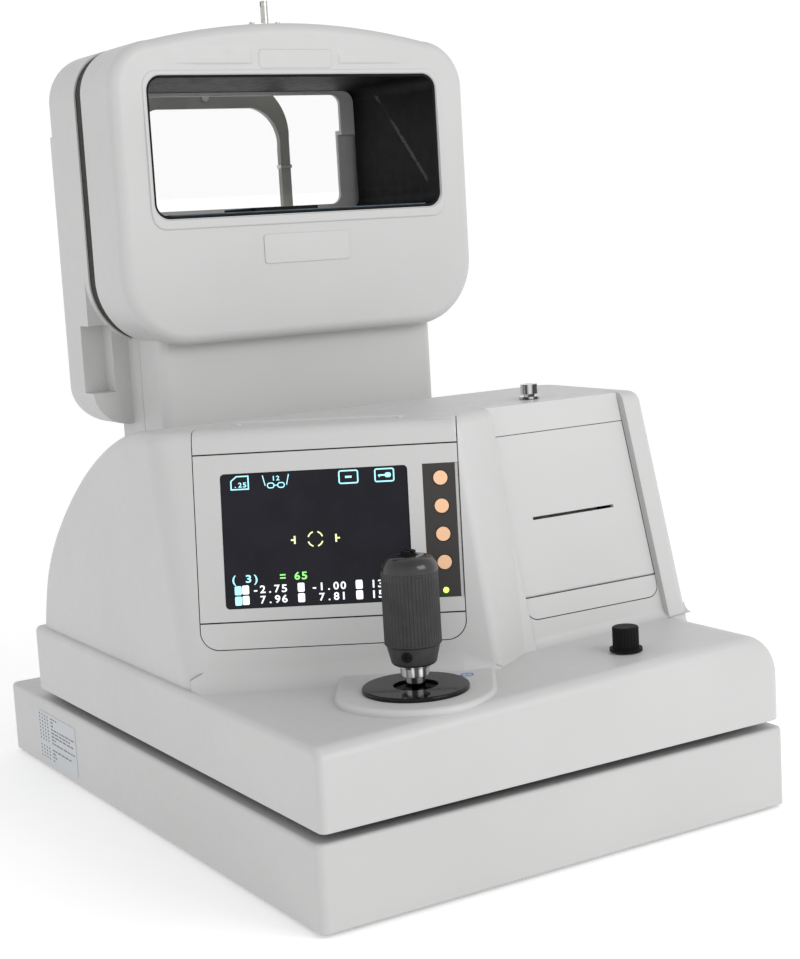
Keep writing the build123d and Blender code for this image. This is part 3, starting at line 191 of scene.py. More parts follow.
def relief(tree, shader, source, strength, depth_mm, edge_mm=0.0):
    """Bump from a noise, over edges softened by edge_mm."""
    bump = tree.nodes.new("ShaderNodeBump")
    bump.inputs["Strength"].default_value = strength
    bump.inputs["Distance"].default_value = depth_mm * MM
    tree.links.new(source, bump.inputs["Height"])
    if edge_mm > 0:
        bevel = tree.nodes.new("ShaderNodeBevel")
        bevel.samples = 4
        bevel.inputs["Radius"].default_value = edge_mm * MM
        tree.links.new(bevel.outputs["Normal"], bump.inputs["Normal"])
    tree.links.new(bump.outputs["Normal"], shader.inputs["Normal"])


def shade(colour, factor):
    return tuple(min(1.0, channel * factor) for channel in colour)


def plastic(name, colour, roughness, grain=2600, bump=0.12, edge_mm=0.5, mottle=0.02, shine=0.5):
    """Moulded plastic: fine spark-eroded grain, faint tone drift, soft moulded edges."""
    material, tree, shader = new_material(name)
    shader.inputs["Specular IOR Level"].default_value = shine
    drift = noise(tree, 9, 3)
    surface_colour(tree, shader, drift, shade(colour, 1 - mottle), shade(colour, 1 + mottle))
    roughen(tree, shader, noise(tree, 160, 3), roughness - 0.05, roughness + 0.05)
    relief(tree, shader, noise(tree, grain, 2), bump, 0.05, edge_mm)
    return material


def rubber(name, colour, roughness=0.62):
    """Dense rubber with a dusty bloom."""
    material, tree, shader = new_material(name)
    shader.inputs["Specular IOR Level"].default_value = 0.2
    surface_colour(tree, shader, noise(tree, 130, 5), shade(colour, 0.8), shade(colour, 1.25))
    roughen(tree, shader, noise(tree, 420, 3), roughness - 0.1, roughness + 0.1)
    relief(tree, shader, noise(tree, 1500, 3), 0.25, 0.06, 0.3)
    shader.inputs["Sheen Weight"].default_value = 0.06
    return material


def chrome_plate(name):
    """Bright plating: dark and light reflections painted into its colour, drawn out along the height of
    the part.
    """
    material, tree, shader = new_material(name)
    shader.inputs["Metallic"].default_value = 1.0
    painted_reflection_bands = noise(tree, 330, 1, (1, 1, 0.02))
    # painted reflection: the base colour runs between dark and light bands that stand for the surroundings
    # reflected in the plating
    surface_colour(tree, shader, painted_reflection_bands, (0.07, 0.07, 0.07), (0.66, 0.66, 0.67), 0.42, 0.58)
    roughen(tree, shader, noise(tree, 240, 3), 0.07, 0.14)
    relief(tree, shader, noise(tree, 900, 2, (1, 1, 5)), 0.05, 0.02, 0.2)
    return material


def metal(name, colour, roughness, stretch=(1, 1, 1), scale=900, edge_mm=0.2):
    """Worked metal: tool marks drawn out along one direction, lighter wear patches."""
    material, tree, shader = new_material(name)
    shader.inputs["Metallic"].default_value = 1.0
    marks = noise(tree, scale, 4, stretch)
    surface_colour(tree, shader, marks, shade(colour, 0.88), shade(colour, 1.08))
    roughen(tree, shader, noise(tree, 210, 4, stretch), roughness * 0.7, roughness * 1.4)
    relief(tree, shader, marks, 0.10, 0.02, edge_mm)
    return material


def painted(name, colour, roughness):
    """Satin paint on steel, with a faint orange peel."""
    material, tree, shader = new_material(name)
    surface_colour(tree, shader, noise(tree, 30, 4), shade(colour, 0.93), shade(colour, 1.08))
    roughen(tree, shader, noise(tree, 300, 3), roughness - 0.06, roughness + 0.06)
    relief(tree, shader, noise(tree, 700, 2), 0.14, 0.06, 0.6)
    shader.inputs["Coat Weight"].default_value = 0.25
    shader.inputs["Coat Roughness"].default_value = 0.3
    return material


def light_mark(name, colour, strength):
    """A lit mark on the display: the tone wavers a little, as pixels do."""
    material, tree, shader = new_material(name)
    shader.inputs["Roughness"].default_value = 0.4
    shader.inputs["Base Color"].default_value = (*shade(colour, 0.4), 1)
    shader.inputs["Emission Strength"].default_value = strength
    grain = noise(tree, 2400, 1)
    ramp_colour(tree, grain, shade(colour, 0.88), colour, shader.inputs["Emission Color"], 0.3, 0.6)
    return material


def screen_glass(name):
    """The dark lit panel behind an anti-glare window."""
    material, tree, shader = new_material(name)
    surface_colour(tree, shader, noise(tree, 60, 3), (0.012, 0.012, 0.017), (0.015, 0.015, 0.021))
    roughen(tree, shader, noise(tree, 500, 3), 0.24, 0.32)
    relief(tree, shader, noise(tree, 3000, 1), 0.03, 0.02)
    shader.inputs["Specular IOR Level"].default_value = 0.12
    return material


def clear_plate(name):
    """The half-silvered plate: almost clear, with a faint cool reflection."""
    material, tree, shader = new_material(name)
    shader.inputs["Base Color"].default_value = (0.85, 0.90, 0.95, 1)
    shader.inputs["Metallic"].default_value = 1.0
    shader.inputs["Alpha"].default_value = 0.035
    roughen(tree, shader, noise(tree, 25, 2), 0.02, 0.06)
    return material


def coated_lens(name):
    material, tree, shader = new_material(name)
    surface_colour(tree, shader, noise(tree, 40, 1), (0.10, 0.08, 0.22), (0.05, 0.12, 0.20))
    roughen(tree, shader, noise(tree, 300, 2), 0.02, 0.05)
    shader.inputs["Transmission Weight"].default_value = 0.5
    shader.inputs["Coat Weight"].default_value = 1.0
    shader.inputs["IOR"].default_value = 1.6
    return material


SHOULDER_START = 14 * MM
SHOULDER_END = 9 * MM
RIB_ROUGHNESS = 0.52
SHOULDER_ROUGHNESS = 0.16


def grip_rubber(name):
    """Dark rubber, worn smooth and shiny on the shoulder of the grip."""
    grip_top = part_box("joystick_grip")[1].z
    material, tree, shader = new_material(name)
    colour = (0.027, 0.027, 0.027)
    shader.inputs["Specular IOR Level"].default_value = 0.45
    surface_colour(tree, shader, noise(tree, 130, 5), shade(colour, 0.85), shade(colour, 1.2))
    place = tree.nodes.new("ShaderNodeTexCoord")
    split = tree.nodes.new("ShaderNodeSeparateXYZ")
    tree.links.new(place.outputs["Object"], split.inputs["Vector"])
    polish = tree.nodes.new("ShaderNodeMapRange")
    polish.interpolation_type = "SMOOTHSTEP"
    polish.inputs["From Min"].default_value = grip_top - SHOULDER_START
    polish.inputs["From Max"].default_value = grip_top - SHOULDER_END
    polish.inputs["To Min"].default_value = RIB_ROUGHNESS
    polish.inputs["To Max"].default_value = SHOULDER_ROUGHNESS
    tree.links.new(split.outputs["Z"], polish.inputs["Value"])
    tree.links.new(polish.outputs["Result"], shader.inputs["Roughness"])
    relief(tree, shader, noise(tree, 1800, 2), 0.12, 0.04, 0.25)
    return material


def circuit_board(name):
    """Green solder mask over copper traces."""
    material, tree, shader = new_material(name)
    traces = noise(tree, 420, 0, (1, 0.15, 1))
    surface_colour(tree, shader, traces, (0.010, 0.085, 0.035), (0.025, 0.16, 0.06), 0.48, 0.52)
    roughen(tree, shader, noise(tree, 900, 2), 0.3, 0.45)
    relief(tree, shader, traces, 0.3, 0.06, 0.2)
    return material


def fibre_paper(name):
    material, tree, shader = new_material(name)
    fibres = noise(tree, 1700, 5, (0.3, 1, 1))
    surface_colour(tree, shader, fibres, (0.80, 0.80, 0.77), (0.88, 0.88, 0.86))
    roughen(tree, shader, fibres, 0.75, 0.9)
    relief(tree, shader, fibres, 0.2, 0.03)
    return material


WHITE = (0.53, 0.53, 0.525)

# One finish for each material slot of the frame
MATERIALS = {
    "shell_white": plastic("shell_white", WHITE, 0.42),
    "panel_white": plastic("panel_white", shade(WHITE, 1.02), 0.40, edge_mm=0.35),
    "base_white": plastic("base_white", shade(WHITE, 0.98), 0.44),
    "chin_white": plastic("chin_white", shade(WHITE, 1.05), 0.36),
    "black_plastic": plastic("black_plastic", (0.006, 0.006, 0.007), 0.55, edge_mm=0.3, mottle=0.1,
                             shine=0.12),
    "black_gloss": plastic("black_gloss", (0.004, 0.004, 0.005), 0.08, bump=0.02, mottle=0.1, shine=0.22),
    "key_label": plastic("key_label", (0.038, 0.036, 0.034), 0.5, edge_mm=0.1, mottle=0.06, shine=0.3),
    "key_cap": plastic("key_cap", (0.90, 0.55, 0.33), 0.38, edge_mm=0.4),
    "screen_glass": screen_glass("screen_glass"),
    "mirror_glass": clear_plate("mirror_glass"),
    "lens_glass": coated_lens("lens_glass"),
    "lamp": light_mark("lamp", (0.42, 1.0, 0.10), 2.4),
    "grip_rubber": grip_rubber("grip_rubber"),
    "foot_rubber": rubber("foot_rubber", (0.022, 0.022, 0.022)),
    "seal_dark": rubber("seal_dark", (0.018, 0.014, 0.011)),
    "pad_soft": rubber("pad_soft", (0.060, 0.062, 0.066), 0.55),
    "chrome": chrome_plate("chrome"),
    "steel": metal("steel", (0.50, 0.49, 0.47), 0.28, (0.2, 0.2, 1)),
    "alloy": metal("alloy", (0.62, 0.63, 0.65), 0.36, (0.1, 1, 1)),
    "brass_gear": metal("brass_gear", (0.66, 0.48, 0.20), 0.25),
    "arch_grey": painted("arch_grey", (0.215, 0.215, 0.198), 0.45),
    "board_green": circuit_board("board_green"),
    "paper": fibre_paper("paper"),
    "label_film": plastic("label_film", (0.50, 0.52, 0.54), 0.35, bump=0.03, edge_mm=0.05),
}


def dress_frame():
    """Gives every CAD node the finish of its slot."""
    for row in frame["record"]["subparts"]:
        node = NODES[row["node"]]
        finish = MATERIALS[row["material_slot"]]
        if not node.data.materials:
            node.data.materials.append(finish)
        for index in range(len(node.material_slots)):
            node.material_slots[index].material = finish


# ---------------------------------------------------------------- shapes
FACES_OPERATOR = -0.3    # a face whose normal's y is below this looks toward the operator


def add_piece(name, form, slot, body, material=None, smooth=True):
    """Turns a bmesh into a piece that rides on a body."""
    bmesh.ops.recalc_face_normals(form, faces=form.faces)
    mesh = bpy.data.meshes.new(name)
    form.to_mesh(mesh)
    form.free()
    if smooth:
        mesh.shade_smooth()
    mesh.materials.append(material or MATERIALS[slot])
    piece = bpy.data.objects.new(name, mesh)
    SCENE.collection.objects.link(piece)
    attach(piece, body)
    return piece


def front_face(node):
    """Frame (across, up, outward) and size of a node's largest flat face toward the operator."""
    mesh = NODES[node].data
    facings = {}
    for polygon in mesh.polygons:
        if polygon.normal.y < FACES_OPERATOR:
            key = tuple(round(value, 2) for value in polygon.normal)
            facings.setdefault(key, []).append(polygon)
    faces = max(facings.values(), key=lambda group: sum(polygon.area for polygon in group))
    outward = max(faces, key=lambda polygon: polygon.area).normal.normalized()
    across = UP.cross(outward).normalized()
    axes = (across, outward.cross(across), outward)
    corners = [mesh.vertices[index].co for polygon in faces for index in polygon.vertices]
    middle = Vector()
    size = []
    for axis in axes:
        along = [corner.dot(axis) for corner in corners]
        middle += axis * (min(along) + max(along)) / 2
        size.append(max(along) - min(along))
    return Matrix.Translation(middle) @ Matrix(axes).transposed().to_4x4(), size[:2]


def rounded_rectangle(x, y, width, height, radius, steps=5):
    """Outline points, anticlockwise."""
    points = []
    for quarter, (sign_x, sign_y) in enumerate(((1, 1), (-1, 1), (-1, -1), (1, -1))):
        centre_x = x + sign_x * (width / 2 - radius)
        centre_y = y + sign_y * (height / 2 - radius)
        for step in range(steps + 1):
            angle = math.pi / 2 * (quarter + step / steps)
            points.append((centre_x + radius * math.cos(angle), centre_y + radius * math.sin(angle)))
    return points


def ring_arc(x, y, radius, width, start, end, steps=10):
    """Outline of a piece of a flat ring, angles in degrees."""
    angles = [math.radians(start + (end - start) * step / steps) for step in range(steps + 1)]
    outer = [(x + radius * math.cos(a), y + radius * math.sin(a)) for a in angles]
    bore = radius - width
    inner = [(x + bore * math.cos(a), y + bore * math.sin(a)) for a in reversed(angles)]
    return outer + inner


def slab(form, plane, outline, low, high, hole=None):
    """A flat plate on a plane, with an optional hole of as many points as the outline."""
    def layer(points, height):
        return [form.verts.new(plane @ Vector((x, y, height))) for x, y in points]

    count = len(outline)
    bottom, top = layer(outline, low), layer(outline, high)
    for index in range(count):
        after = (index + 1) % count
        form.faces.new((bottom[index], bottom[after], top[after], top[index]))
    if hole is None:
        form.faces.new(top)
        form.faces.new(bottom[::-1])
        return
    inner_bottom, inner_top = layer(hole, low), layer(hole, high)
    for index in range(count):
        after = (index + 1) % count
        form.faces.new((top[index], top[after], inner_top[after], inner_top[index]))
        form.faces.new((bottom[after], bottom[index], inner_bottom[index], inner_bottom[after]))
        form.faces.new((inner_bottom[after], inner_bottom[index], inner_top[index], inner_top[after]))


def join_loops(form, loops):
    """Faces between closed loops that have the same number of points."""
    for inner, outer in zip(loops, loops[1:]):
        for index in range(len(inner)):
            after = (index + 1) % len(inner)
            form.faces.new((inner[index], inner[after], outer[after], outer[index]))


def join_rows(form, rows, flip=False):
    """Faces between open rows that have the same number of points."""
    for lower, upper in zip(rows, rows[1:]):
        for index in range(len(lower) - 1):
            face = (lower[index], lower[index + 1], upper[index + 1], upper[index])
            form.faces.new(face[::-1] if flip else face)


def smooth_step(value, low, high):
    share = min(1.0, max(0.0, (value - low) / (high - low)))
    return share * share * (3 - 2 * share)


# ---------------------------------------------------------------- digits
FONT_SIZE = 1.42    # makes a digit about one unit high
FONT_WEIGHT = 0.03
DIGIT_PITCH = 0.97    # as a share of the height
WIDE_DIGITS = "023456789"
WIDE_DIGIT_WIDTH = 0.74    # as a share of the height
NARROW_STRETCH = 1.15


def make_digits():
    """Solids, one unit high and thick, of the digits and signs that the display shows."""
    holders = {}
    for character in "0123456789.-()":
        curve = bpy.data.curves.new("digit", "FONT")
        curve.body = character
        curve.size = FONT_SIZE
        curve.extrude = 0.5
        curve.offset = FONT_WEIGHT
        curve.resolution_u = 3
        holders[character] = bpy.data.objects.new("digit", curve)
        SCENE.collection.objects.link(holders[character])
    bpy.context.view_layer.update()
    depsgraph = bpy.context.evaluated_depsgraph_get()
    digits = {}
    for character, holder in holders.items():
        digits[character] = bpy.data.meshes.new_from_object(holder.evaluated_get(depsgraph))
    for holder in holders.values():
        curve = holder.data
        bpy.data.objects.remove(holder)
        bpy.data.curves.remove(curve)
    return digits


def add_number(form, plane, text, x, y, height, low, thick):
    """Digits set on an even pitch, like a terminal's: x is the left edge and y the middle."""
    pitch = height * DIGIT_PITCH
    for index, character in enumerate(text):
        if character == " ":
            continue
        mesh = DIGITS[character].copy()
        across = [vertex.co.x for vertex in mesh.vertices]
        width = max(across) - min(across)
        stretch = WIDE_DIGIT_WIDTH / width if character in WIDE_DIGITS else NARROW_STRETCH
        centre = (max(across) + min(across)) / 2
        cell = x + pitch * (index + 0.5)
        place = Matrix.Translation((cell, y - height / 2, low + thick / 2))
        grow = Matrix.Diagonal((stretch * height, height, thick, 1))
        mesh.transform(plane @ place @ grow @ Matrix.Translation((-centre, 0, 0)))
        form.from_mesh(mesh)
        bpy.data.meshes.remove(mesh)


# ---------------------------------------------------------------- display
MARK_LOW = 0.02 * MM
MARK_THICK = 0.10 * MM
MARK_HIGH = MARK_LOW + MARK_THICK

DIGITS = make_digits()
CYAN = light_mark("mark_cyan", (0.42, 0.92, 1.0), 1.0)
BRIGHT = light_mark("mark_white", (0.92, 0.97, 1.0), 1.0)
GREEN = light_mark("mark_green", (0.30, 1.0, 0.22), 1.0)
YELLOW = light_mark("mark_yellow", (0.95, 0.95, 0.45), 1.0)

THIN_PEN = 0.55 * MM
PEN = 0.8 * MM
READING_HEIGHT = 4.3 * MM
READINGS = (("-2.75", "-1.00", "137"), (" 7.96", " 7.81", "155"))
ROW_MARKER = (4.0 * MM, 5.2 * MM, 0.8 * MM)    # width, height and corner radius

# Shares of the screen, from its left edge and from its top
STEP_ICON = (0.103, 0.068)
GLASSES_ICON = (0.297, 0.098)
DASH_ICON = (0.686, 0.064)
KEY_ICON = (0.878, 0.064)
AIMING_MARK = (0.494, 0.511)
COUNT = (0.030, 0.781)
EQUALS_START, EQUALS_END, EQUALS_VALUE, EQUALS_ROW = 0.295, 0.325, 0.368, 0.776
READING_COLUMNS = (0.142, 0.457, 0.772)
READING_ROWS = (0.863, 0.940)
MARKER_COLUMNS = (0.108, 0.405, 0.715)
FIRST_MARKER_COLUMN = 0.068
FIRST_MARKER_ROWS = (0.866, 0.943)


class ScreenLayer:
    """Marks of one colour on the screen. Shares count from the left and from the top of the screen."""

    def __init__(self):
        self.plane, (self.width, self.height) = front_face("display_glass")
        self.form = bmesh.new()

    def across(self, share):
        return (share - 0.5) * self.width

    def down(self, share):
        return (0.5 - share) * self.height

    def place(self, shares):
        return self.across(shares[0]), self.down(shares[1])

    def shape(self, outline, hole=None):
        slab(self.form, self.plane, outline, MARK_LOW, MARK_HIGH, hole)

    def block(self, x, y, width, height, radius):
        self.shape(rounded_rectangle(x, y, width, height, radius))

    def frame(self, x, y, width, height, radius, pen):
        """A rounded rectangle drawn as a line."""
        outer = rounded_rectangle(x, y, width, height, radius)
        inner = rounded_rectangle(x, y, width - 2 * pen, height - 2 * pen, max(radius - pen, pen / 4))
        self.shape(outer, inner)

    def line(self, start, end, pen):
        start, end = Vector(start), Vector(end)
        direction = (end - start).normalized()
        side = Vector((-direction.y, direction.x)) * pen / 2
        corners = (start - side, end - side, end + side, start + side)
        self.shape([tuple(corner) for corner in corners])

    def number(self, text, x, y, height=READING_HEIGHT):
        add_number(self.form, self.plane, text, x, y, height, MARK_LOW, MARK_THICK)

    def finish(self, name, material):
        add_piece(name, self.form, "screen_glass", "stage", material, smooth=False)


def draw_step_icon(layer):
    """A card with a cut corner round the step of the readings."""
    x, y = layer.place(STEP_ICON)
    half_x, half_y = 5.4 * MM, 4.1 * MM
    outline = [(x - half_x, y - half_y), (x + half_x, y - half_y), (x + half_x, y + half_y),
               (x - half_x * 0.35, y + half_y), (x - half_x, y + half_y * 0.3)]
    inner = [(x + (point_x - x) * 0.86, y + (point_y - y) * 0.82) for point_x, point_y in outline]
    layer.shape(outline, inner)
    layer.number(".25", x - 3.9 * MM, y - 1.2 * MM, 2.8 * MM)


def draw_glasses_icon(layer):
    """Spectacles with raised arms, and a number between the arms."""
    x, y = layer.place(GLASSES_ICON)
    arm_top, number_y = layer.down(0.02), layer.down(0.045)
    for side in (-1, 1):
        lens_x = x + side * 3.0 * MM
        layer.shape(rounded_rectangle(lens_x, y, 4.4 * MM, 3.4 * MM, 1.6 * MM),
                    rounded_rectangle(lens_x, y, 3.2 * MM, 2.2 * MM, 1.0 * MM))
        layer.line((lens_x + side * 3.2 * MM, y), (lens_x + side * 4.6 * MM, arm_top), THIN_PEN)
    layer.line((x - 1 * MM, y), (x + 1 * MM, y), THIN_PEN)
    layer.number("12", x - 2.5 * MM, number_y, 2.6 * MM)


def draw_framed_icons(layer):
    """Two framed signs: a dash, and a small key with its bit."""
    dash_x, y = layer.place(DASH_ICON)
    key_x, y = layer.place(KEY_ICON)
    for x in (dash_x, key_x):
        layer.frame(x, y, 11.6 * MM, 8.0 * MM, 1.4 * MM, PEN)
    layer.line((dash_x - 1.9 * MM, y), (dash_x + 1.9 * MM, y), 1.2 * MM)
    layer.line((key_x - 3.6 * MM, y), (key_x + 1.0 * MM, y), 0.9 * MM)
    layer.line((key_x - 2.9 * MM, y - 1.1 * MM), (key_x - 2.9 * MM, y + 0.3 * MM), 0.7 * MM)
    layer.block(key_x + 2.0 * MM, y, 3.6 * MM, 2.8 * MM, 1.2 * MM)


def make_cyan_marks():
    """The icons along the top, a count and the markers of the two rows of readings."""
    layer = ScreenLayer()
    draw_step_icon(layer)
    draw_glasses_icon(layer)
    draw_framed_icons(layer)
    layer.number("( 3)", *layer.place(COUNT))
    for row in FIRST_MARKER_ROWS:
        layer.block(*layer.place((FIRST_MARKER_COLUMN, row)), *ROW_MARKER)
    layer.finish("screen_marks_cyan", CYAN)


def make_white_marks():
    """Two rows of three readings, with a marker before each reading."""
    layer = ScreenLayer()
    for row, readings in zip(READING_ROWS, READINGS):
        for column, text in zip(READING_COLUMNS, readings):
            layer.number(text, *layer.place((column, row)))
        for column in MARKER_COLUMNS:
            layer.block(*layer.place((column, row)), *ROW_MARKER)
    layer.finish("screen_marks_white", BRIGHT)


def make_green_marks():
    """A number after an equals sign."""
    layer = ScreenLayer()
    y = layer.down(EQUALS_ROW)
    for offset in (-0.9 * MM, 0.9 * MM):
        layer.line((layer.across(EQUALS_START), y + offset), (layer.across(EQUALS_END), y + offset), PEN)
    layer.number("65", layer.across(EQUALS_VALUE), y)
    layer.finish("screen_marks_green", GREEN)


def make_yellow_marks():
    """The aiming mark: a ring in four pieces between two pointers."""
    layer = ScreenLayer()
    x, y = layer.place(AIMING_MARK)
    arc, gap = 54, 18
    for quarter in range(4):
        start = 90 * quarter + gap
        layer.shape(ring_arc(x, y, 4.7 * MM, PEN, start, start + arc))
    for side in (-1, 1):
        bar_x = x + side * 12.0 * MM
        layer.line((bar_x, y - 2.3 * MM), (bar_x, y + 2.3 * MM), 1.0 * MM)
        layer.line((bar_x, y), (bar_x + side * 2.2 * MM, y), 0.9 * MM)
    layer.finish("screen_marks_yellow", YELLOW)


def make_screen_marks():
    """Readings and symbols on the screen: numbers and signs only, no letters."""
    make_cyan_marks()
    make_white_marks()
    make_green_marks()
    make_yellow_marks()


# ---------------------------------------------------------------- seams
def gap_shade_strip(form, plane, path, width, low, high):
    """A thin dark strip laid along a path at the bottom of a gap between two panels: painted shade in the
    gap.
    """
    left, right = [], []
    for index, point in enumerate(path):
        before = Vector(path[max(index - 1, 0)])
        after = Vector(path[min(index + 1, len(path) - 1)])
        along = (after - before).normalized()
        side = Vector((-along.y, along.x)) * width / 2
        left.append(Vector(point) + side)
        right.append(Vector(point) - side)
    for index in range(len(path) - 1):
        corners = (left[index], right[index], right[index + 1], left[index + 1])
        slab(form, plane, [tuple(corner) for corner in corners], low, high)


def seam_path(half_width, bottom, top, radius, steps=8):
    """Down one side, round two lower corners and up the other side."""
    path = [(-half_width, top)]
    for sign, start in ((-1, math.pi), (1, 1.5 * math.pi)):
        centre_x = sign * (half_width - radius)
        centre_y = bottom + radius
        for step in range(steps + 1):
            angle = start + math.pi / 2 * step / steps
            path.append((centre_x + radius * math.cos(angle), centre_y + radius * math.sin(angle)))
    path.append((half_width, top))
    return path


def level_path(half_width, height):
    return [(-half_width, height), (half_width, height)]


GAP_LOW = -0.9 * MM
GAP_HIGH = -0.25 * MM


def make_panel_gap_shade():
    """Painted shade: dark strips at the bottoms of the gaps round the display's and the printer's panels.
    """
    form = bmesh.new()
    screen, _ = front_face("display_glass")
    display = screen @ Matrix.Translation((7 * MM, 2 * MM, 0.8 * MM))
    path = seam_path(half_width=76.85 * MM, bottom=-64.45 * MM, top=54 * MM, radius=11.25 * MM)
    gap_shade_strip(form, display, path, 0.42 * MM, GAP_LOW, GAP_HIGH)
    for height in (-48.7 * MM, 48.7 * MM):
        path = level_path(76.4 * MM, height)
        gap_shade_strip(form, display, path, 0.74 * MM, low=-0.88 * MM, high=-0.35 * MM)

    door, _ = front_face("printer_door")
    printer = door @ Matrix.Translation((0, -0.75 * MM, 0))
    path = seam_path(half_width=50.45 * MM, bottom=-62.95 * MM, top=58 * MM, radius=8.25 * MM)
    gap_shade_strip(form, printer, path, 0.38 * MM, GAP_LOW, GAP_HIGH)
    for height in (-49.42 * MM, 49.4 * MM):
        path = level_path(50 * MM, height)
        gap_shade_strip(form, printer, path, 0.26 * MM, low=-1.2 * MM, high=-0.4 * MM)
    # the strips take the dark seal finish as painted shade in the gaps
    add_piece("panel_gap_shade", form, "seal_dark", "stage", smooth=False)


# ---------------------------------------------------------------- head trim
HEAD_SHELL = "head_front_shell"
IN_FRONT = -0.3    # y of a point in front of the whole head
TOWARD_PATIENT = Vector((0, 1, 0))


def shell_y(x, z, fallback):
    """Where a line along +Y at (x, z) first meets the head's front shell."""
    hit, place, _, _ = NODES[HEAD_SHELL].ray_cast(Vector((x, IN_FRONT, z)), TOWARD_PATIENT)
    return place.y if hit else fallback


def dense_outline(centre_z, width, height, corner, gap):
    """A rounded rectangle with extra points on its straight runs."""
    outline = []
    points = rounded_rectangle(0, centre_z, width, height, corner, 12)
    for index, (x, z) in enumerate(points):
        after = points[(index + 1) % len(points)]
        pieces = max(1, round(math.dist((x, z), after) / gap))
        for part in range(pieces):
            blend = part / pieces
            outline.append((x + (after[0] - x) * blend, z + (after[1] - z) * blend))
    return outline


RIM_LOOPS = 24
RIM_RISE = 1.1 * MM
RIM_SINK = 0.02 * MM
RIM_START = 0.35 * MM
RIM_REACH_SIDE = 2.6 * MM
RIM_REACH_ABOVE = 2.8 * MM
RIM_REACH_BELOW = 6.6 * MM
RIM_FADE_ABOVE = 0.6


def rim_point(x, z, centre_z, half_x, half_z, share, shell_front):
    """A point of the rim: share runs from 0 at its inner edge to 1 at its outer edge."""
    side = x / half_x
    height = (z - centre_z) / half_z
    reach_x = RIM_START + RIM_REACH_SIDE * share
    reach_z = RIM_START + (RIM_REACH_BELOW if z < centre_z else RIM_REACH_ABOVE) * share
    grown_x = x + math.copysign(reach_x, x) * min(1.0, abs(side) ** 8 * 1.6)
    grown_z = z + math.copysign(reach_z, height) * min(1.0, abs(height) ** 5 * 1.8)
    profile = smooth_step(share, 0, 0.12) * (1 - smooth_step(share, 0.86, 1.0))
    fade = 1 - RIM_FADE_ABOVE * smooth_step(height, 0.0, 0.9)
    y = shell_y(grown_x, grown_z, shell_front) - RIM_RISE * profile * fade + RIM_SINK
    return grown_x, y, grown_z


def make_window_rim():
    """The raised rim round the window: narrow at the sides, a broad band below it."""
    low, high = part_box("tunnel_liner")
    width, height = high.x - low.x, high.z - low.z
    centre_z = (low.z + high.z) / 2
    shell_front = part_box(HEAD_SHELL)[0].y
    outline = dense_outline(centre_z, width, height, corner=9.9 * MM, gap=2.5 * MM)
    form = bmesh.new()
    loops = []
    for loop in range(RIM_LOOPS + 1):
        share = loop / RIM_LOOPS
        places = [rim_point(x, z, centre_z, width / 2, height / 2, share, shell_front) for x, z in outline]
        loops.append([form.verts.new(place) for place in places])
    join_loops(form, loops)
    add_piece("window_rim", form, "shell_white", "head")


def relief_sheet(name, x_span, z_span, columns, rows, lift):
    """A moulded relief on the head's front: lift(x, z) is its height above the surface."""
    shell_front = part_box(HEAD_SHELL)[0].y
    form = bmesh.new()
    grid = []
    for row in range(rows + 1):
        z = z_span[0] + (z_span[1] - z_span[0]) * row / rows
        line = []
        for column in range(columns + 1):
            x = x_span[0] + (x_span[1] - x_span[0]) * column / columns
            line.append(form.verts.new((x, shell_y(x, z, shell_front) - lift(x, z), z)))
        grid.append(line)
    join_rows(form, grid)
    add_piece(name, form, "shell_white", "head")


COVER_HALF_WIDTH = 27 * MM
COVER_CORNER = 3 * MM
COVER_RISE = 0.6 * MM


def make_sight_cover():
    """The flush cover over the window, a thin plate with a rounded edge."""
    window_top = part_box("tunnel_liner")[1].z
    low, high = window_top + 3.6 * MM, window_top + 16 * MM

    def lift(x, z):
        edge = min(COVER_HALF_WIDTH - abs(x), z - low, high - z)
        past_corner_x = abs(x) - (COVER_HALF_WIDTH - COVER_CORNER)
        past_corner_z = max(low + COVER_CORNER - z, z - high + COVER_CORNER)
        if past_corner_x > 0 and past_corner_z > 0:
            edge = COVER_CORNER - math.hypot(past_corner_x, past_corner_z)
        return COVER_RISE * smooth_step(edge, -0.1 * MM, 0.6 * MM) - 0.08 * MM

    relief_sheet("sight_cover", (-COVER_HALF_WIDTH, COVER_HALF_WIDTH), (low, high), 72, 24, lift)


LEDGE_RISE = 0.9 * MM
LEDGE_START = 30 * MM
LEDGE_END = 93 * MM


def make_brow_ledges():
    """The two soft ledges over the window that run out toward its corners."""
    window_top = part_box("tunnel_liner")[1].z
    low = window_top + 6.5 * MM

    def lift(x, z):
        across = abs(x)
        rise = smooth_step(z, low, low + 0.8 * MM) * (1 - smooth_step(z, low + 3 * MM, low + 12 * MM))
        run = smooth_step(across, 31 * MM, 33 * MM) * (1 - smooth_step(across, 66 * MM, 92 * MM))
        return LEDGE_RISE * rise * run - 0.03 * MM

    z_span = (low - 0.3 * MM, low + 12.5 * MM)
    for side, name in ((-1, "brow_ledge_left"), (1, "brow_ledge_right")):
        relief_sheet(name, (side * LEDGE_START, side * LEDGE_END), z_span, 60, 26, lift)


def make_tunnel_floor():
    """Cool grey felt strip along the front of the tunnel's floor."""
    low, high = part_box("tunnel_liner")
    side_gap, front_gap = 11 * MM, 1 * MM
    strip_depth, strip_thickness = 20 * MM, 0.8 * MM
    liner_thickness = 1.62 * MM
    middle_y = low.y + front_gap + strip_depth / 2
    form = bmesh.new()
    plane = Matrix.Translation((0, middle_y, low.z + liner_thickness))
    outline = rounded_rectangle(0, 0, high.x - low.x - 2 * side_gap, strip_depth, 1 * MM)
    slab(form, plane, outline, 0, strip_thickness)
    felt = rubber("floor_strip", (0.075, 0.105, 0.130), 0.5)
    add_piece("tunnel_floor_strip", form, "black_plastic", "head", felt, smooth=False)


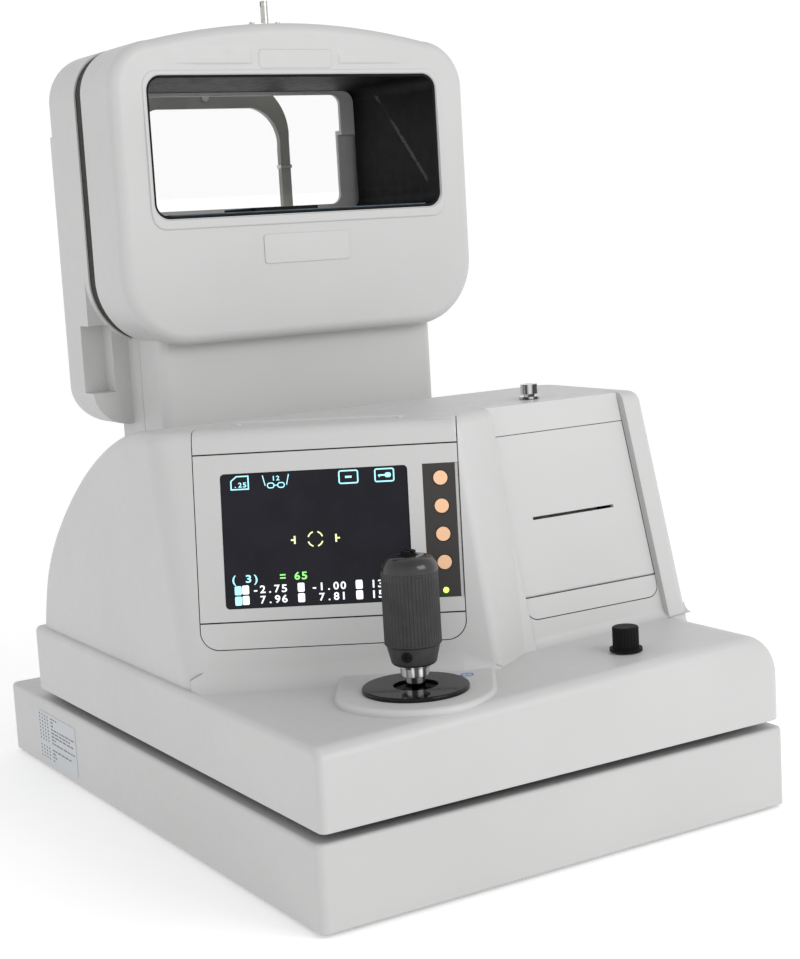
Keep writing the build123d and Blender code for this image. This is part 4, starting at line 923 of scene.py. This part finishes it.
# ---------------------------------------------------------------- stage trim
def dome(form, place, radius, height, segments=20, rings=5):
    """A low dome on a level surface."""
    top = form.verts.new(place + Vector((0, 0, height)))
    loops = []
    for ring in range(1, rings + 1):
        angle = math.pi / 2 * ring / rings
        reach = radius * math.sin(angle)
        loop = []
        for segment in range(segments):
            turn = 2 * math.pi * segment / segments
            offset = Vector((reach * math.cos(turn), reach * math.sin(turn), height * math.cos(angle)))
            loop.append(form.verts.new(place + offset))
        loops.append(loop)
    for segment in range(segments):
        form.faces.new((top, loops[0][segment], loops[0][(segment + 1) % segments]))
    join_loops(form, loops)
    form.faces.new(loops[-1][::-1])


PLUG_PLACES = ((-98 * MM, -46 * MM), (-21 * MM, -104 * MM))
PLUG_RADIUS = 2.0 * MM
PLUG_HEIGHT = 1.1 * MM

RAIL_ENDS = ((-98 * MM, -32 * MM), (-14 * MM, -101 * MM))
RAIL_HALF_WIDTH = 1.7 * MM
RAIL_HEIGHT = 1.0 * MM
RAIL_SINK = 0.05 * MM


def make_roof_plugs():
    """Two small plugs on the roof, behind the display."""
    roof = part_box("body_cover")[1].z
    form = bmesh.new()
    for x, y in PLUG_PLACES:
        dome(form, Vector((x, y, roof - 0.1 * MM)), PLUG_RADIUS, PLUG_HEIGHT)
    add_piece("roof_plugs", form, "panel_white", "stage")


def make_roof_rail():
    """A low moulded rail along the display, half round and tapered at its ends."""
    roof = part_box("body_cover")[1].z
    start, end = (Vector((x, y, roof)) for x, y in RAIL_ENDS)
    side = UP.cross((end - start).normalized())
    steps, turns = 40, 8
    form = bmesh.new()
    rings = []
    for step in range(steps + 1):
        share = step / steps
        taper = min(1.0, 12 * share, 12 * (1 - share)) ** 0.5
        middle = start + (end - start) * share
        ring = []
        for turn in range(turns + 1):
            angle = math.pi * turn / turns
            outward = side * (RAIL_HALF_WIDTH * math.cos(angle) * taper)
            rise = UP * (RAIL_HEIGHT * math.sin(angle) * taper - RAIL_SINK)
            ring.append(form.verts.new(middle + outward + rise))
        rings.append(ring)
    join_rows(form, rings)
    bmesh.ops.remove_doubles(form, verts=form.verts, dist=0.001 * MM)
    add_piece("roof_rail", form, "shell_white", "stage")


def make_ring_mark():
    """A small blue ring label beside the joystick."""
    low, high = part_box("joystick_disc")
    centre = (low + high) / 2
    thick = 0.12 * MM
    plane = Matrix.Translation((centre.x + 38 * MM, centre.y + 6 * MM, low.z + 0.02 * MM))
    form = bmesh.new()
    outer = rounded_rectangle(0, 0, 7.6 * MM, 7.6 * MM, 3.79 * MM, 8)
    inner = rounded_rectangle(0, 0, 5.8 * MM, 5.8 * MM, 2.89 * MM, 8)
    slab(form, plane, outer, 0, thick, inner)
    slab(form, plane, rounded_rectangle(0, 0, 2.0 * MM, 0.8 * MM, 0.3 * MM), 0, thick)
    ink = plastic("ring_ink", (0.05, 0.16, 0.55), 0.4, bump=0.02, edge_mm=0.05)
    add_piece("ring_label", form, "label_film", "stage", ink, smooth=False)


# ---------------------------------------------------------------- rating label
INK_LOW = -0.05 * MM
INK_HIGH = 0.008 * MM
PRINT_ROWS = 13
BLANK_ROW = 8
DASH_HEIGHT = 1.0 * MM
ROW_END_CHANCE = 0.18
PRINT_SEED = 7


def make_label_marks():
    """Rows of small dashes that stand for a rating plate's print."""
    low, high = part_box("rating_label")
    faces_left = Matrix(((0, 0, -1), (-1, 0, 0), (0, 1, 0))).to_4x4()
    plane = Matrix.Translation((low.x, (low.y + high.y) / 2, (low.z + high.z) / 2)) @ faces_left
    width, height = high.y - low.y, high.z - low.z
    picker = random.Random(PRINT_SEED)
    form = bmesh.new()

    def dash(x, y, dash_width, dash_height):
        outline = rounded_rectangle(x, y, dash_width, dash_height, 0.2 * MM, 2)
        slab(form, plane, outline, INK_LOW, INK_HIGH)

    for row in range(PRINT_ROWS):
        if row == BLANK_ROW:
            continue
        y = height / 2 - height * (row + 1) / (PRINT_ROWS + 1)
        for column in range(4):
            dash(-width / 2 + 4 * MM + column * 5 * MM, y, 2.0 * MM, 1.2 * MM)
        x = -width / 2 + 25 * MM
        while x < width / 2 - 6 * MM:
            length = picker.uniform(2.5, 7.0) * MM
            dash(x + length / 2, y, length, DASH_HEIGHT)
            x += length + picker.uniform(0.8, 1.6) * MM
            if picker.random() < ROW_END_CHANCE:
                break
    ink = plastic("label_ink", (0.10, 0.10, 0.11), 0.5, bump=0.02, edge_mm=0.02)
    add_piece("rating_label_marks", form, "label_film", "base", ink, smooth=False)


# ---------------------------------------------------------------- forehead pad
PAD_COLUMNS = 48
PAD_ROWS = 14
SEAM_SHARE = 0.34    # how much of the pad's depth lies behind its edge seam
DIMPLE_SHARE = 0.05


def pad_crown(share_x, share_z):
    """How far the pad bulges, from 0 at its edge to 1 in its middle."""
    edge_x = max(0.0, 1 - abs(share_x) ** 6)
    edge_z = max(0.0, 1 - abs(share_z) ** 3.2)
    return (edge_x * edge_z) ** 0.42


def pad_point(low, high, share_x, share_z, back):
    """A point on the front or back of the pad. Shares run from -1 to 1 across the pad."""
    depth = high.y - low.y
    seam = low.y + depth * SEAM_SHARE
    x = (high.x - low.x) / 2 * share_x * (1 - 0.10 * abs(share_z) ** 8)
    z = (low.z + high.z) / 2 + (high.z - low.z) / 2 * share_z * (1 - 0.16 * abs(share_x) ** 10)
    if back:
        return x, seam - depth * SEAM_SHARE * min(1, pad_crown(share_x, share_z) * 1.6), z
    dimple = DIMPLE_SHARE * depth * math.cos(math.pi * 3 * share_x) ** 2
    return x, seam + (depth * (1 - SEAM_SHARE) - dimple) * pad_crown(share_x, share_z), z


def make_forehead_pad():
    """Soft rubber pad: crowned toward the patient, pulled in at its edge seam."""
    low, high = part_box("forehead_pad")
    form = bmesh.new()
    for back in (False, True):
        sheet = []
        for row in range(PAD_ROWS + 1):
            share_z = -1 + 2 * row / PAD_ROWS
            shares_x = [-1 + 2 * column / PAD_COLUMNS for column in range(PAD_COLUMNS + 1)]
            places = [pad_point(low, high, share_x, share_z, back) for share_x in shares_x]
            sheet.append([form.verts.new(place) for place in places])
        join_rows(form, sheet, flip=back)
    bmesh.ops.remove_doubles(form, verts=form.verts, dist=0.05 * MM)
    pad = add_piece("forehead_cushion", form, "pad_soft", "base")
    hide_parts("forehead_pad")


make_camera()
make_studio()
dress_frame()
make_screen_marks()
make_window_rim()
make_sight_cover()
make_brow_ledges()
make_panel_gap_shade()
make_tunnel_floor()
make_roof_plugs()
make_roof_rail()
make_ring_mark()
make_label_marks()
make_forehead_pad()

for digit in DIGITS.values():
    bpy.data.meshes.remove(digit)
